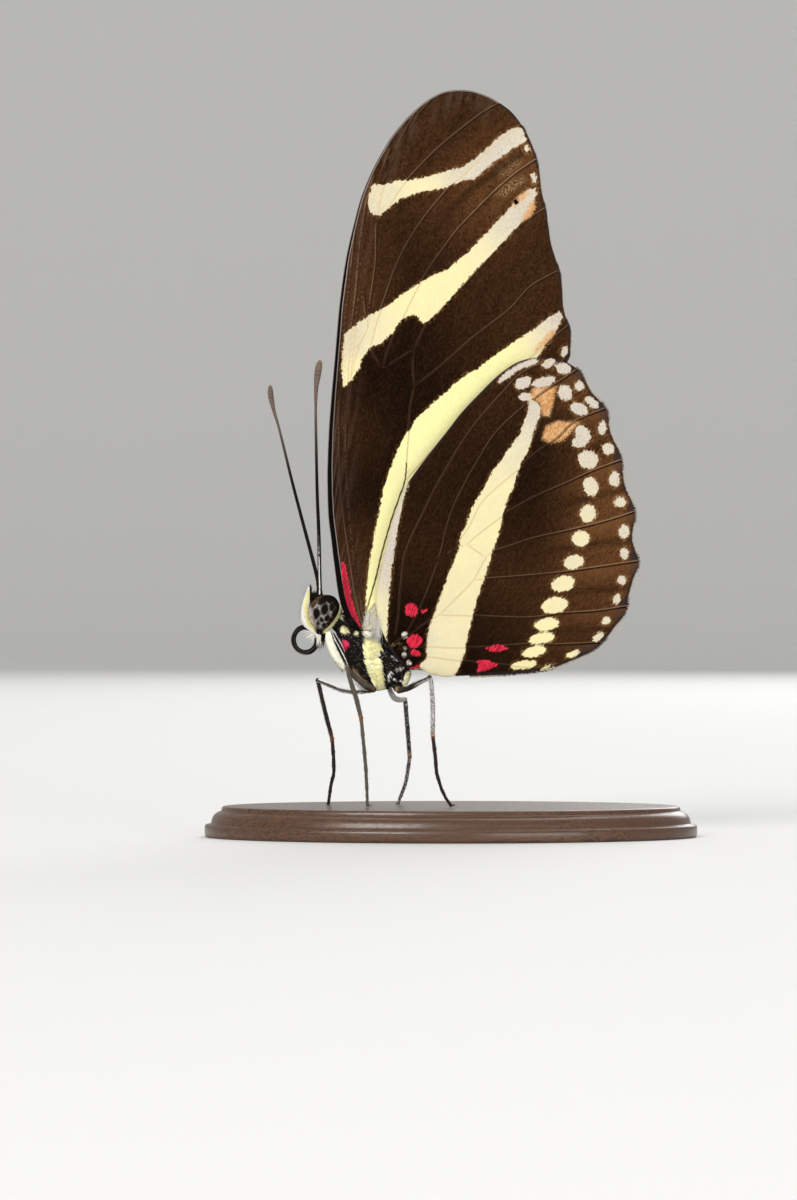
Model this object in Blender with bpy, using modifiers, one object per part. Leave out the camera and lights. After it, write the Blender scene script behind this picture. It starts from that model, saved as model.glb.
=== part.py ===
"""Zebra longwing butterfly at rest with its wings closed, as a life-size still model.

The head points to -X, the left side of the animal to -Y, and up is +Z.
Side-view places (x, z) are in millimetres from the root of the forewing, because that is
where all the big forms meet. The whole model stands on a plain oval base whose underside
is at z = 0 and whose middle is the origin.
"""

import math

import bmesh
import bpy
from mathutils import Matrix, Vector
from mathutils.geometry import delaunay_2d_cdt, intersect_point_line

OBJECT_NAME = "zebra_longwing"
MM = 0.001

# Base: the widest thing in the model, so its middle is the middle of the whole box.
BASE_LENGTH = 40.0
BASE_WIDTH = 26.0
BASE_THICKNESS = 2.5
BASE_BEVEL = 0.6
BASE_SIDES = 64

# Where the forewing root stands over the base.
ROOT_X = -7.0
ROOT_HEIGHT = 14.0
FOOT_GAP = 0.12
ROOT_Z = BASE_THICKNESS + FOOT_GAP + ROOT_HEIGHT

# Clearance that is left wherever two nodes meet.
GAP = 0.3

# Wings: a membrane with the main veins raised out of both of its faces.
MEMBRANE = 0.5
VEIN_THICKNESS = 0.82
VEIN_HALF_WIDTH = 0.55
WING_STEP = 2.3
RIM_STEP = 1.5
MERGE_DISTANCE = 0.45
FLANK_MERGE = 0.3
MARGIN_CLEARANCE = 0.55
FLANK_MARGIN = 0.4
FIELD_MARGIN = 0.9
FIELD_VEIN_CLEARANCE = 0.7
FIELD_SPACING = 0.6 * WING_STEP

# A line at the foot of a ridge stops where another vein comes closer than this.
FLANK_VEIN_CLEARANCE = 0.85 * VEIN_HALF_WIDTH

# A ridge is full a little before its middle line, so that its top is flat.
RIDGE_FULLNESS = 1.1

# Distance of each wing pair from the middle plane, away from the roots and at them.
FORE_LAYER = 0.56
FORE_ROOT_OUT = 1.2
HIND_LAYER = 1.72
ROOT_FADE = 3.2
ABDOMEN_BULGE = 0.22
ABDOMEN_LEVEL = -2.2
ABDOMEN_REACH = 2.2
BOW = 0.15
BOW_START = 24.0
BOW_LENGTH = 20.0

BODY_SIDES = 16
HEAD_LEVELS = 8
ABDOMEN_SIDES = 12
CURVE_CUTS = 12

FORE_OUTLINE = [
    (-0.5, 0.3), (-1.4, 2.2), (-2.2, 4.0), (-2.75, 8.3), (-3.0, 14.3), (-2.75, 21.2), (-1.9, 28.6),
    (-0.9, 32.6), (0.6, 37.2), (3.1, 41.4), (5.8, 43.5), (7.9, 43.9), (10.5, 43.2), (12.6, 41.4),
    (13.7, 38.8), (14.3, 35.6), (14.9, 32.4), (15.8, 29.4), (16.1, 27.1), (16.5, 25.2), (16.6, 23.2),
    (16.2, 21.5), (14.2, 18.8), (8.5, 11.5), (3.3, 7.6), (1.5, 6.2), (0.8, 4.2), (0.7, 2.2), (0.6, 0.4),
]
FORE_VEINS = {
    "subcosta": [(-0.3, 0.9), (-1.2, 5.8), (-1.9, 12.3), (-2.0, 18.8), (-1.5, 25.3), (-0.7, 33.0)],
    "radius stem": [(-0.1, 1.3), (-0.5, 5.8), (-1.1, 12.3), (-1.1, 18.0), (-0.7, 22.0), (0.2, 24.9)],
    "radius 1": [(-1.1, 18.0), (-1.1, 23.7), (-0.6, 29.3), (0.1, 35.4)],
    "radius 2": [(-0.7, 22.0), (-0.5, 26.9), (0.1, 33.0), (1.9, 39.0)],
    "radius 3": [(0.2, 24.9), (-0.2, 29.3), (0.6, 34.6), (2.4, 38.6), (4.0, 42.1)],
    "radius 4": [(0.2, 24.9), (0.9, 30.0), (1.2, 33.2), (3.2, 37.8), (6.1, 43.6)],
    "radius 5": [(1.2, 33.2), (2.8, 35.2), (6.1, 39.2), (10.9, 42.9)],
    "media 1": [(0.5, 23.2), (1.5, 26.2), (2.8, 30.0), (4.9, 33.6), (7.4, 36.5), (13.2, 40.0)],
    "media 2": [(1.5, 21.4), (2.7, 24.5), (4.5, 28.3), (6.9, 31.9), (10.1, 35.3), (13.9, 38.1)],
    "media 3": [(4.0, 22.8), (5.0, 25.1), (7.0, 27.1), (10.9, 31.3), (14.7, 34.3)],
    "cubitus 1": [(4.0, 19.9), (7.3, 22.6), (11.3, 26.2), (15.8, 29.2)],
    "cubitus 2": [(3.2, 12.3), (5.4, 14.6), (8.9, 18.1), (12.6, 21.5), (16.4, 24.8)],
    "second anal": [(0.2, 3.2), (1.2, 8.2), (6.1, 12.4), (10.9, 17.4), (15.6, 22.4)],
    "cubitus stem": [(0.2, 3.2), (1.2, 8.2), (2.6, 11.0), (3.2, 12.3), (3.6, 15.6), (4.0, 19.9), (4.0, 22.8)],
    "cell end": [(4.0, 22.8), (1.5, 21.4), (0.5, 23.2), (0.2, 24.9)],
}

HIND_OUTLINE = [
    (2.1, -1.0), (1.4, 0.3), (1.2, 2.3), (1.3, 4.6), (1.9, 7.9), (3.2, 11.1), (4.9, 13.8), (6.9, 16.4),
    (9.3, 19.0), (11.7, 21.1), (13.2, 22.0), (14.6, 22.3), (16.0, 22.0), (17.1, 21.3), (18.1, 19.9),
    (19.5, 18.0), (19.8, 16.5), (20.7, 13.9), (20.9, 12.2), (21.7, 9.7), (21.7, 7.7), (22.1, 5.6),
    (21.4, 3.7), (21.2, 2.1), (19.9, 0.2), (19.2, -0.8), (17.4, -1.9), (15.0, -2.8), (11.3, -3.3),
    (7.3, -3.6), (5.0, -3.2), (3.4, -2.6), (2.6, -2.0),
]
HIND_VEINS = {
    "subcosta": [(2.5, -0.2), (2.4, 3.0), (3.0, 6.2), (5.4, 11.5), (8.5, 16.9), (11.3, 20.0), (15.0, 22.1)],
    "radial sector": [
        (3.2, -0.3), (4.5, 2.6), (5.8, 5.7), (6.9, 9.9), (9.3, 13.8), (13.4, 18.6), (17.3, 21.1),
    ],
    "media 1": [(5.8, 5.7), (7.5, 7.4), (10.9, 11.3), (14.2, 14.4), (19.5, 17.9)],
    "media 2": [(8.2, 7.0), (10.9, 9.2), (15.8, 11.7), (20.7, 13.9)],
    "media 3": [(9.9, 6.0), (10.9, 6.6), (15.8, 8.1), (21.7, 9.7)],
    "cubitus 1": [(8.9, 4.4), (12.6, 4.5), (17.4, 5.0), (22.0, 5.6)],
    "cubitus 2": [(6.1, 1.6), (9.3, 1.3), (14.2, 1.2), (21.2, 2.1)],
    "cubitus stem": [(3.2, -0.3), (5.1, 0.8), (6.1, 1.6), (8.9, 4.4), (9.9, 6.0)],
    "cell end": [(7.5, 7.4), (8.2, 7.0), (9.9, 6.0)],
    "second anal": [(3.2, -1.3), (5.3, -1.0), (10.1, -1.3), (15.0, -1.4), (19.1, -0.9)],
}

# Body rings, each given by its point on the back, its point on the belly and its half width.
THORAX_RINGS = [
    ((-2.2, 1.3), (-2.4, 0.2), 0.5),
    ((-1.8, 1.5), (-2.1, -0.5), 0.95),
    ((-1.1, 1.4), (-1.6, -1.6), 1.3),
    ((-0.2, 1.0), (-1.1, -3.3), 1.5),
    ((0.7, 0.3), (-0.6, -4.5), 1.5),
    ((1.6, 0.0), (0.6, -4.8), 1.45),
    ((2.3, -0.3), (1.8, -4.7), 1.38),
    ((2.8, -0.7), (2.9, -4.3), 1.22),
    ((3.1, -1.2), (3.3, -3.3), 0.9),
]
ABDOMEN_RINGS = [
    ((3.6, -1.5), (3.6, -2.7), 0.6),
    ((4.3, -1.1), (4.2, -3.0), 0.9),
    ((5.9, -1.0), (5.9, -3.2), 1.08),
    ((8.2, -1.0), (8.3, -3.2), 1.1),
    ((11.0, -0.9), (11.2, -3.0), 1.05),
    ((13.8, -0.6), (14.1, -2.5), 0.95),
    ((16.3, -0.2), (16.7, -1.9), 0.8),
    ((17.9, 0.0), (18.3, -1.2), 0.55),
    ((18.7, -0.1), (18.9, -0.8), 0.3),
]

HEAD_CENTRE = (-3.35, 1.6)
HEAD_RADII = (0.75, 0.55, 1.2)
EYE_CENTRE = (-3.37, 1.6)
EYE_RADII = (1.25, 1.42)
EYE_LEAN = math.radians(-14)
EYE_RINGS = [(0.85, 0.82), (1.02, 0.95), (1.25, 1.0), (1.5, 0.9), (1.7, 0.68), (1.84, 0.34)]

PALP_PATH = [(-3.9, 0.15), (-4.45, 0.2), (-4.85, 0.85), (-4.98, 1.55), (-4.8, 2.6), (-4.6, 3.55)]
PALP_OUT = [0.74, 0.74, 0.72, 0.68, 0.6, 0.55]
PALP_RADII = [0.26, 0.28, 0.3, 0.29, 0.25, 0.14]
PALP_STEP = 0.6

PROBOSCIS_CENTRE = (-4.82, -0.7)
PROBOSCIS_RADIUS = 0.95
PROBOSCIS_TUBE = 0.26
PROBOSCIS_ROOT = (-3.7, 0.12)
PROBOSCIS_START = math.radians(12)
PROBOSCIS_SWEEP = math.radians(279)
PROBOSCIS_STEPS = 19

ANTENNA_BASE_Y = 0.42
ANTENNA_LEFT_PATH = [
    (-3.68, 2.98), (-3.62, 4.8), (-3.72, 8.0), (-3.9, 11.3),
    (-4.0, 15.1), (-4.06, 18.5), (-3.9, 20.6), (-3.7, 22.0),
]
ANTENNA_RIGHT_PATH = [
    (-3.68, 2.98), (-3.8, 4.2), (-4.1, 5.3), (-5.0, 8.7),
    (-5.9, 12.2), (-6.9, 16.2), (-7.45, 18.1), (-7.7, 19.9),
]
ANTENNA_LEFT_SPREAD = 5.0
ANTENNA_RIGHT_SPREAD = 9.0
ANTENNA_SHAFT = 0.26
ANTENNA_CLUB = 0.33
ANTENNA_TIP = 0.2
ANTENNA_STEP = 1.5

FORELEG_PATH = [(-3.0, -0.45), (-2.5, -1.35), (-2.05, -2.2), (-1.75, -2.75)]
FORELEG_OUT = [0.85, 0.95, 1.0, 1.0]
FORELEG_RADII = [0.25, 0.27, 0.27, 0.2]
FORELEG_STEP = 0.9

# Walking legs: side-view path and distance from the middle plane, split at its joints.
FOOT_Z = -ROOT_HEIGHT
LEGS = {
    "midleg_left": {
        "side": -1,
        "femur": [(0.55, -5.05, 0.85), (-0.3, -4.75, 1.6), (-1.0, -4.0, 2.3), (-1.5, -3.15, 3.0)],
        "tibia": [(-1.5, -3.15, 3.0), (-0.95, -5.0, 3.3), (-0.35, -7.2, 3.3)],
        "tarsus": [(-0.35, -7.2, 3.3), (-0.1, -9.3, 3.3), (0.05, -11.3, 3.3), (0.2, FOOT_Z, 3.4)],
    },
    "midleg_right": {
        "side": 1,
        "femur": [(0.6, -5.15, 0.8), (-0.9, -5.0, 1.5), (-2.4, -4.6, 2.2), (-3.8, -4.0, 2.8)],
        "tibia": [(-3.8, -4.0, 2.8), (-3.2, -6.4, 3.0), (-2.7, -8.5, 3.1)],
        "tarsus": [(-2.7, -8.5, 3.1), (-2.5, -10.0, 3.1), (-2.6, -11.6, 3.2), (-2.95, FOOT_Z, 3.4)],
    },
    "hindleg_left": {
        "side": -1,
        "femur": [(2.85, -4.8, 0.75), (4.0, -4.5, 1.9), (5.15, -3.75, 3.1)],
        "tibia": [(5.15, -3.75, 3.1), (5.45, -6.2, 3.3), (5.5, -8.4, 3.4)],
        "tarsus": [(5.5, -8.4, 3.4), (5.7, -10.6, 3.4), (6.1, -12.4, 3.5), (7.0, FOOT_Z, 3.7)],
    },
    "hindleg_right": {
        "side": 1,
        "femur": [(2.1, -5.05, 0.65), (2.5, -5.5, 1.5), (3.2, -5.5, 2.6)],
        "tibia": [(3.2, -5.5, 2.6), (3.45, -7.3, 3.0), (3.65, -9.9, 3.2)],
        "tarsus": [(3.65, -9.9, 3.2), (3.3, -12.4, 3.4), (2.5, FOOT_Z, 3.6)],
    },
}
KNEE_RADIUS = 0.27
LEG_RADII = {
    "femur": (KNEE_RADIUS, 0.3, KNEE_RADIUS),
    "tibia": (KNEE_RADIUS, 0.28, KNEE_RADIUS),
    "tarsus": (0.26, 0.26, 0.28),
}
LEG_STEP = 1.4
FOOT_HEIGHT = 0.35

FINE_STEP = 0.05

# Distance that each piece's centre line keeps from that of the piece above it. Both radii count
# where the knee folds, and the ankle is straight, so that its flat ends face each other.
ANKLE_SPARE = 0.05
JOINT_CLEARANCE = {"femur": 0.0, "tibia": 2 * KNEE_RADIUS + GAP, "tarsus": GAP + ANKLE_SPARE}

COLOURS = {
    "wing": (0.035, 0.018, 0.010),
    "body": (0.020, 0.017, 0.015),
    "eye": (0.16, 0.13, 0.11),
    "palp": (0.78, 0.68, 0.36),
    "horn": (0.05, 0.035, 0.028),
    "leg": (0.03, 0.025, 0.022),
    "base": (0.11, 0.052, 0.026),
}


def make_material(name, colour, roughness):
    material = bpy.data.materials.new(name)
    material.use_nodes = True
    shader = material.node_tree.nodes["Principled BSDF"]
    shader.inputs["Base Color"].default_value = (*colour, 1.0)
    shader.inputs["Roughness"].default_value = roughness
    return material


def add_object(name, shape, kind, roughness=0.6):
    shape.materials.append(make_material(name + "_finish", COLOURS[kind], roughness))
    item = bpy.data.objects.new(name, shape)
    parts.objects.link(item)
    return item


def mesh_from(bm, name):
    bmesh.ops.recalc_face_normals(bm, faces=bm.faces)
    mesh = bpy.data.meshes.new(name)
    bm.to_mesh(mesh)
    bm.free()
    return mesh


def place(x, y, z):
    """World point in metres of a side-view place and its distance from the middle plane."""
    return Vector((ROOT_X + x, y, ROOT_Z + z)) * MM


def curve_point(before, start, end, after, share):
    """Point of the smooth curve that runs through its control points."""
    square, cube = share * share, share * share * share
    return (
        before * (-0.5 * cube + square - 0.5 * share)
        + start * (1.5 * cube - 2.5 * square + 1.0)
        + end * (-1.5 * cube + 2.0 * square + 0.5 * share)
        + after * (0.5 * cube - 0.5 * square)
    )


def smooth_path(points, step, closed=False):
    """Smooth curve through the points, cut into even steps."""
    points = [Vector(point) for point in points]
    count = len(points)
    spans = count if closed else count - 1
    fine = []
    for index in range(spans):
        if closed:
            around = [points[(index + shift) % count] for shift in (-1, 0, 1, 2)]
        else:
            around = [points[min(max(index + shift, 0), count - 1)] for shift in (-1, 0, 1, 2)]
        fine += [curve_point(*around, part / CURVE_CUTS) for part in range(CURVE_CUTS)]
    fine.append(points[0].copy() if closed else points[-1].copy())
    lengths = [0.0]
    for start, end in zip(fine, fine[1:]):
        lengths.append(lengths[-1] + (end - start).length)
    pieces = max(1, round(lengths[-1] / step))
    path, index = [], 0
    for piece in range(pieces if closed else pieces + 1):
        target = lengths[-1] * piece / pieces
        while index < len(fine) - 2 and lengths[index + 1] < target:
            index += 1
        span = lengths[index + 1] - lengths[index]
        share = (target - lengths[index]) / span if span else 0.0
        path.append(fine[index].lerp(fine[index + 1], min(share, 1.0)))
    return path


def loft(name, rings, kind, roughness=0.6):
    """Closed body through rings that all have the same number of points."""
    bm = bmesh.new()
    rows = [[bm.verts.new(point) for point in ring] for ring in rings]
    count = len(rings[0])
    for lower, upper in zip(rows, rows[1:]):
        for index in range(count):
            following = (index + 1) % count
            bm.faces.new((lower[index], lower[following], upper[following], upper[index]))
    bm.faces.new(rows[0])
    bm.faces.new(rows[-1])
    return add_object(name, mesh_from(bm, name), kind, roughness)


def spread(values, count):
    """Stretch a short list of values evenly over a longer one."""
    result = []
    for index in range(count):
        place_in = index * (len(values) - 1) / max(count - 1, 1)
        low = min(int(place_in), len(values) - 2)
        result.append(values[low] + (values[low + 1] - values[low]) * (place_in - low))
    return result


def tube(name, path, radii, kind):
    """Tapered round rod along a path of world points in millimetres."""
    curve = bpy.data.curves.new(name, "CURVE")
    curve.dimensions = "3D"
    curve.bevel_depth = MM
    curve.bevel_resolution = 2
    curve.use_fill_caps = True
    spline = curve.splines.new("POLY")
    spline.points.add(len(path) - 1)
    for point, spot, radius in zip(spline.points, path, spread(radii, len(path))):
        point.co = (*(spot * MM), 1.0)
        point.radius = radius
    return add_object(name, curve, kind, 0.45)


def body(name, stations, sides=BODY_SIDES):
    """Rounded body through rings that are given by back, belly and half width."""
    rings = []
    for back, belly, half_width in stations:
        back, belly = Vector(back), Vector(belly)
        middle, reach = (back + belly) / 2, (back - belly) / 2
        ring = []
        for corner in range(sides):
            angle = math.tau * corner / sides
            spot = middle + reach * math.cos(angle)
            ring.append(place(spot.x, half_width * math.sin(angle), spot.y))
        rings.append(ring)
    return loft(name, rings, "body", 0.8)


def segment_distance(point, start, end):
    nearest, share = intersect_point_line(point, start, end)
    if share <= 0.0:
        nearest = start.to_3d()
    if share >= 1.0:
        nearest = end.to_3d()
    return (point.to_3d() - nearest.to_3d()).length


def path_distance(point, path):
    return min(segment_distance(point, start, end) for start, end in zip(path, path[1:]))


def is_inside(point, outline):
    inside = False
    for start, end in zip(outline, outline[1:] + outline[:1]):
        if (start.y > point.y) != (end.y > point.y):
            crossing = start.x + (point.y - start.y) * (end.x - start.x) / (end.y - start.y)
            if point.x < crossing:
                inside = not inside
    return inside


class WingPlan:
    """Points and lines of a wing before it is cut into triangles."""

    def __init__(self, outline, veins):
        self.outline = smooth_path(outline, RIM_STEP, closed=True)
        self.rim = self.outline + self.outline[:1]
        self.points = list(self.outline)
        count = len(self.outline)
        self.lines = [(index, (index + 1) % count) for index in range(count)]
        self.veins = []
        for vein in veins.values():
            path = [p for p in smooth_path(vein, WING_STEP) if self.clear_of_rim(p)]
            self.veins.append(path)

    def clear_of_rim(self, point, distance=MARGIN_CLEARANCE):
        return is_inside(point, self.outline) and path_distance(point, self.rim) > distance

    def vein_distance(self, point):
        return min(path_distance(point, vein) for vein in self.veins)

    def index_of(self, point, reach=MERGE_DISTANCE):
        """Use a point that is there already when one is close by."""
        for index, known in enumerate(self.points):
            if (known - point).length < reach:
                return index
        self.points.append(point)
        return len(self.points) - 1

    def add_path(self, path, reach=MERGE_DISTANCE):
        indices = [self.index_of(point, reach) for point in path]
        for start, end in zip(indices, indices[1:]):
            if start != end and (start, end) not in self.lines and (end, start) not in self.lines:
                self.lines.append((start, end))

    def add_flanks(self, vein):
        """Lines at the foot of the ridge, on both sides of a vein and clear of the others."""
        for side in (-1, 1):
            run = []
            for index, point in enumerate(vein):
                ahead = vein[min(index + 1, len(vein) - 1)] - vein[max(index - 1, 0)]
                across = Vector((-ahead.y, ahead.x)).normalized() * side
                foot = point + across * VEIN_HALF_WIDTH
                clear = self.vein_distance(foot) > FLANK_VEIN_CLEARANCE
                if clear and self.clear_of_rim(foot, FLANK_MARGIN):
                    run.append(foot)
                else:
                    self.add_path(run, FLANK_MERGE)
                    run = []
            self.add_path(run, FLANK_MERGE)

    def add_field(self):
        """Even spread of points over the membrane between the veins."""
        low_x, high_x = min(p.x for p in self.outline), max(p.x for p in self.outline)
        low_z, high_z = min(p.y for p in self.outline), max(p.y for p in self.outline)
        row_step = WING_STEP * math.sqrt(0.75)
        for row in range(int((high_z - low_z) / row_step) + 1):
            for column in range(int((high_x - low_x) / WING_STEP) + 2):
                x = low_x + (column + 0.5 * (row % 2)) * WING_STEP
                point = Vector((x, low_z + row * row_step))
                if not self.clear_of_rim(point, FIELD_MARGIN):
                    continue
                if self.vein_distance(point) < VEIN_HALF_WIDTH + FIELD_VEIN_CLEARANCE:
                    continue
                if min((known - point).length for known in self.points) > FIELD_SPACING:
                    self.points.append(point)

    def triangles(self):
        for vein in self.veins:
            self.add_path(vein)
        for vein in self.veins:
            self.add_flanks(vein)
        self.add_field()
        points, _, faces, *_ = delaunay_2d_cdt(self.points, self.lines, [], 1, 1e-4)
        return points, faces


def wing(name, outline, veins, side, layer):
    """Wing cut into triangles, set in its layer and thickened more along the veins."""
    plan = WingPlan(outline, veins)
    points, faces = plan.triangles()
    bm = bmesh.new()
    corners = [bm.verts.new(place(p.x, side * layer(p), p.y)) for p in points]
    for face in faces:
        bm.faces.new([corners[index] for index in face])
    loose = [vert for vert in bm.verts if not vert.link_faces]
    bmesh.ops.delete(bm, geom=loose, context="VERTS")
    thickness = []
    for vert in bm.verts:
        spot = Vector((vert.co.x / MM - ROOT_X, vert.co.z / MM - ROOT_Z))
        rise = max(0.0, 1.0 - plan.vein_distance(spot) / VEIN_HALF_WIDTH)
        thickness.append(MEMBRANE + (VEIN_THICKNESS - MEMBRANE) * min(1.0, rise * RIDGE_FULLNESS))
    item = add_object(name, mesh_from(bm, name), "wing", 0.7)
    group = item.vertex_groups.new(name="thickness")
    for index, value in enumerate(thickness):
        group.add([index], value / VEIN_THICKNESS, "REPLACE")
    solidify = item.modifiers.new("membrane", "SOLIDIFY")
    solidify.thickness = VEIN_THICKNESS * MM
    solidify.offset = 0.0
    solidify.vertex_group = group.name
    solidify.use_even_offset = False
    return item


def fore_layer(point):
    height = min(1.0, max(0.0, point.y - BOW_START) / BOW_LENGTH)
    bow = BOW * (1.0 - math.cos(height * math.pi))
    return FORE_LAYER + FORE_ROOT_OUT * math.exp(-((point.length / ROOT_FADE) ** 2)) + bow


def hind_layer(point):
    bulge = ABDOMEN_BULGE * math.exp(-(((point.y - ABDOMEN_LEVEL) / ABDOMEN_REACH) ** 2))
    return HIND_LAYER + bulge


def add_wings():
    for side, label in ((-1, "left"), (1, "right")):
        wing("forewing_" + label, FORE_OUTLINE, FORE_VEINS, side, fore_layer)
        wing("hindwing_" + label, HIND_OUTLINE, HIND_VEINS, side, hind_layer)


def add_head():
    bm = bmesh.new()
    bmesh.ops.create_uvsphere(bm, u_segments=BODY_SIDES, v_segments=HEAD_LEVELS, radius=1.0)
    bmesh.ops.transform(bm, matrix=Matrix.Diagonal((*HEAD_RADII, 1.0)), verts=bm.verts)
    bmesh.ops.transform(bm, matrix=Matrix.Scale(MM, 4), verts=bm.verts)
    bmesh.ops.translate(bm, vec=place(HEAD_CENTRE[0], 0.0, HEAD_CENTRE[1]), verts=bm.verts)
    add_object("head", mesh_from(bm, "head"), "body", 0.8)
    for side, label in ((-1, "left"), (1, "right")):
        rings = []
        for out, share in EYE_RINGS:
            ring = []
            for corner in range(BODY_SIDES):
                angle = math.tau * corner / BODY_SIDES
                flat = Vector((EYE_RADII[0] * math.cos(angle), EYE_RADII[1] * math.sin(angle))) * share
                flat.rotate(Matrix.Rotation(EYE_LEAN, 2))
                ring.append(place(EYE_CENTRE[0] + flat.x, side * out, EYE_CENTRE[1] + flat.y))
            rings.append(ring)
        loft("eye_" + label, rings, "eye", 0.2)
        path = [place(x, side * out, z) / MM for (x, z), out in zip(PALP_PATH, PALP_OUT)]
        tube("palp_" + label, smooth_path(path, PALP_STEP), PALP_RADII, "palp")


def add_proboscis():
    path = [place(PROBOSCIS_ROOT[0], 0.0, PROBOSCIS_ROOT[1]) / MM]
    for step in range(PROBOSCIS_STEPS + 1):
        angle = PROBOSCIS_START - PROBOSCIS_SWEEP * step / PROBOSCIS_STEPS
        x = PROBOSCIS_CENTRE[0] + PROBOSCIS_RADIUS * math.cos(angle)
        z = PROBOSCIS_CENTRE[1] + PROBOSCIS_RADIUS * math.sin(angle)
        path.append(place(x, 0.0, z) / MM)
    tube("proboscis", path, [PROBOSCIS_TUBE, PROBOSCIS_TUBE], "horn")


def add_antennae():
    sets = (
        ("antenna_left", -1, ANTENNA_LEFT_PATH, ANTENNA_LEFT_SPREAD),
        ("antenna_right", 1, ANTENNA_RIGHT_PATH, ANTENNA_RIGHT_SPREAD),
    )
    for name, side, points, out in sets:
        height = points[-1][1] - points[0][1]
        path = []
        for x, z in points:
            rise = (z - points[0][1]) / height
            path.append(place(x, side * (ANTENNA_BASE_Y + (out - ANTENNA_BASE_Y) * rise), z) / MM)
        steps = smooth_path(path, ANTENNA_STEP)
        radii = [ANTENNA_SHAFT] * (len(steps) - 3) + [ANTENNA_CLUB, ANTENNA_CLUB, ANTENNA_TIP]
        tube(name, steps, radii, "horn")


def add_legs():
    for side, label in ((-1, "left"), (1, "right")):
        path = [place(x, side * out, z) / MM for (x, z), out in zip(FORELEG_PATH, FORELEG_OUT)]
        tube("foreleg_" + label, smooth_path(path, FORELEG_STEP), FORELEG_RADII, "leg")
    for leg, shape in LEGS.items():
        above = []
        for joint, clearance in JOINT_CLEARANCE.items():
            path = smooth_path(
                [place(x, shape["side"] * out, z) / MM for x, z, out in shape[joint]], FINE_STEP
            )
            clear = [point for point in path if all((point - other).length > clearance for other in above)]
            above = path
            steps = smooth_path(clear, LEG_STEP)
            if joint == "tarsus":
                steps.insert(-1, steps[-1] + Vector((0.0, 0.0, FOOT_HEIGHT)))
            tube(leg + "_" + joint, steps, LEG_RADII[joint], "leg")


def add_base():
    bm = bmesh.new()
    bmesh.ops.create_cone(
        bm, cap_ends=True, segments=BASE_SIDES, radius1=0.5, radius2=0.5, depth=BASE_THICKNESS * MM
    )
    size = Matrix.Diagonal((BASE_LENGTH * MM, BASE_WIDTH * MM, 1.0, 1.0))
    bmesh.ops.transform(bm, matrix=size, verts=bm.verts)
    bmesh.ops.translate(bm, vec=(0.0, 0.0, BASE_THICKNESS * MM / 2), verts=bm.verts)
    item = add_object("stand_base", mesh_from(bm, "stand_base"), "base", 0.35)
    bevel = item.modifiers.new("edge", "BEVEL")
    bevel.width = BASE_BEVEL * MM
    bevel.segments = 2
    bevel.limit_method = "ANGLE"


for old in list(bpy.data.objects):
    bpy.data.objects.remove(old)
parts = bpy.data.collections.new(OBJECT_NAME)
bpy.context.scene.collection.children.link(parts)

add_base()
add_wings()
body("thorax", THORAX_RINGS)
body("abdomen", ABDOMEN_RINGS, sides=ABDOMEN_SIDES)
add_head()
add_proboscis()
add_antennae()
add_legs()
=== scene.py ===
"""Zebra longwing at rest: the looks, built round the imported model.

Shapes are worked out in millimetres and scaled to metres when they become meshes. Places that
were read off the photograph are named lists of photo pixels, and from_photo turns them into
millimetres on a plane beside the animal's middle.
"""

import math

import bmesh
import bpy
import numpy as np
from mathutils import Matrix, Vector
from mathutils.geometry import delaunay_2d_cdt


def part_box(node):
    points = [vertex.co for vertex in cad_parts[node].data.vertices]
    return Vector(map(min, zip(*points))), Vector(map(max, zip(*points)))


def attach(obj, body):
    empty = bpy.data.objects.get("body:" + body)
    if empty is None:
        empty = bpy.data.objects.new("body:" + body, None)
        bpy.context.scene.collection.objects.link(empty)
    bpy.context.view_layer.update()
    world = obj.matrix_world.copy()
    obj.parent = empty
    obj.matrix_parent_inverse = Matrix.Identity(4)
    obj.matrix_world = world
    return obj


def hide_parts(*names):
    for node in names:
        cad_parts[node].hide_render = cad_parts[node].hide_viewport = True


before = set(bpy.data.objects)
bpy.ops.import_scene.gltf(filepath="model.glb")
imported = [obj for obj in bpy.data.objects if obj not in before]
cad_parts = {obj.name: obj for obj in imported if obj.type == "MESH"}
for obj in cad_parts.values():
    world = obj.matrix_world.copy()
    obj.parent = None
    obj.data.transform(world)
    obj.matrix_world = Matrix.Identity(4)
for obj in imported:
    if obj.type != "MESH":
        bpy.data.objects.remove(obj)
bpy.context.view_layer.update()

MM = 0.001

# The photograph's scale and frame, on the plane of the near wings.
PIXEL_MM = 0.081
PHOTO_HEIGHT = 1200
PHOTO_MIDDLE = (398.5, 600.0)
STAND_MIDDLE_PX = 451.0
GROUND_PX = 805.0
GROUND_RISE = 0.12
GROUND_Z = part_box("stand_base")[1].z / MM + GROUND_RISE
WING_PLANE = -1.2
CAMERA_DISTANCE = 450.0
SENSOR = 36.0

VIEW_X = (PHOTO_MIDDLE[0] - STAND_MIDDLE_PX) * PIXEL_MM
VIEW_Z = (GROUND_PX - PHOTO_MIDDLE[1]) * PIXEL_MM + GROUND_Z

# Planes of the near side, in mm from the middle, on which the marks of body and eye were read.
BODY_PLANE, EYE_RIM_PLANE, EYE_SPOT_PLANE = -1.3, -1.25, -1.6

# A value for what a wing doesn't have, far beyond every distance that is looked at.
NOT_THERE = 9.0


def from_photo(points, y):
    """Side-view places (x, z) in mm of photo pixels, for what stands y mm from the middle."""
    points = np.atleast_2d(np.array(points, float))
    scale = PIXEL_MM * (1.0 + (y - WING_PLANE) / CAMERA_DISTANCE)
    x = VIEW_X + (points[:, 0] - PHOTO_MIDDLE[0]) * scale
    z = VIEW_Z - (points[:, 1] - PHOTO_MIDDLE[1]) * scale
    return np.stack([x, z], axis=1)


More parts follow.
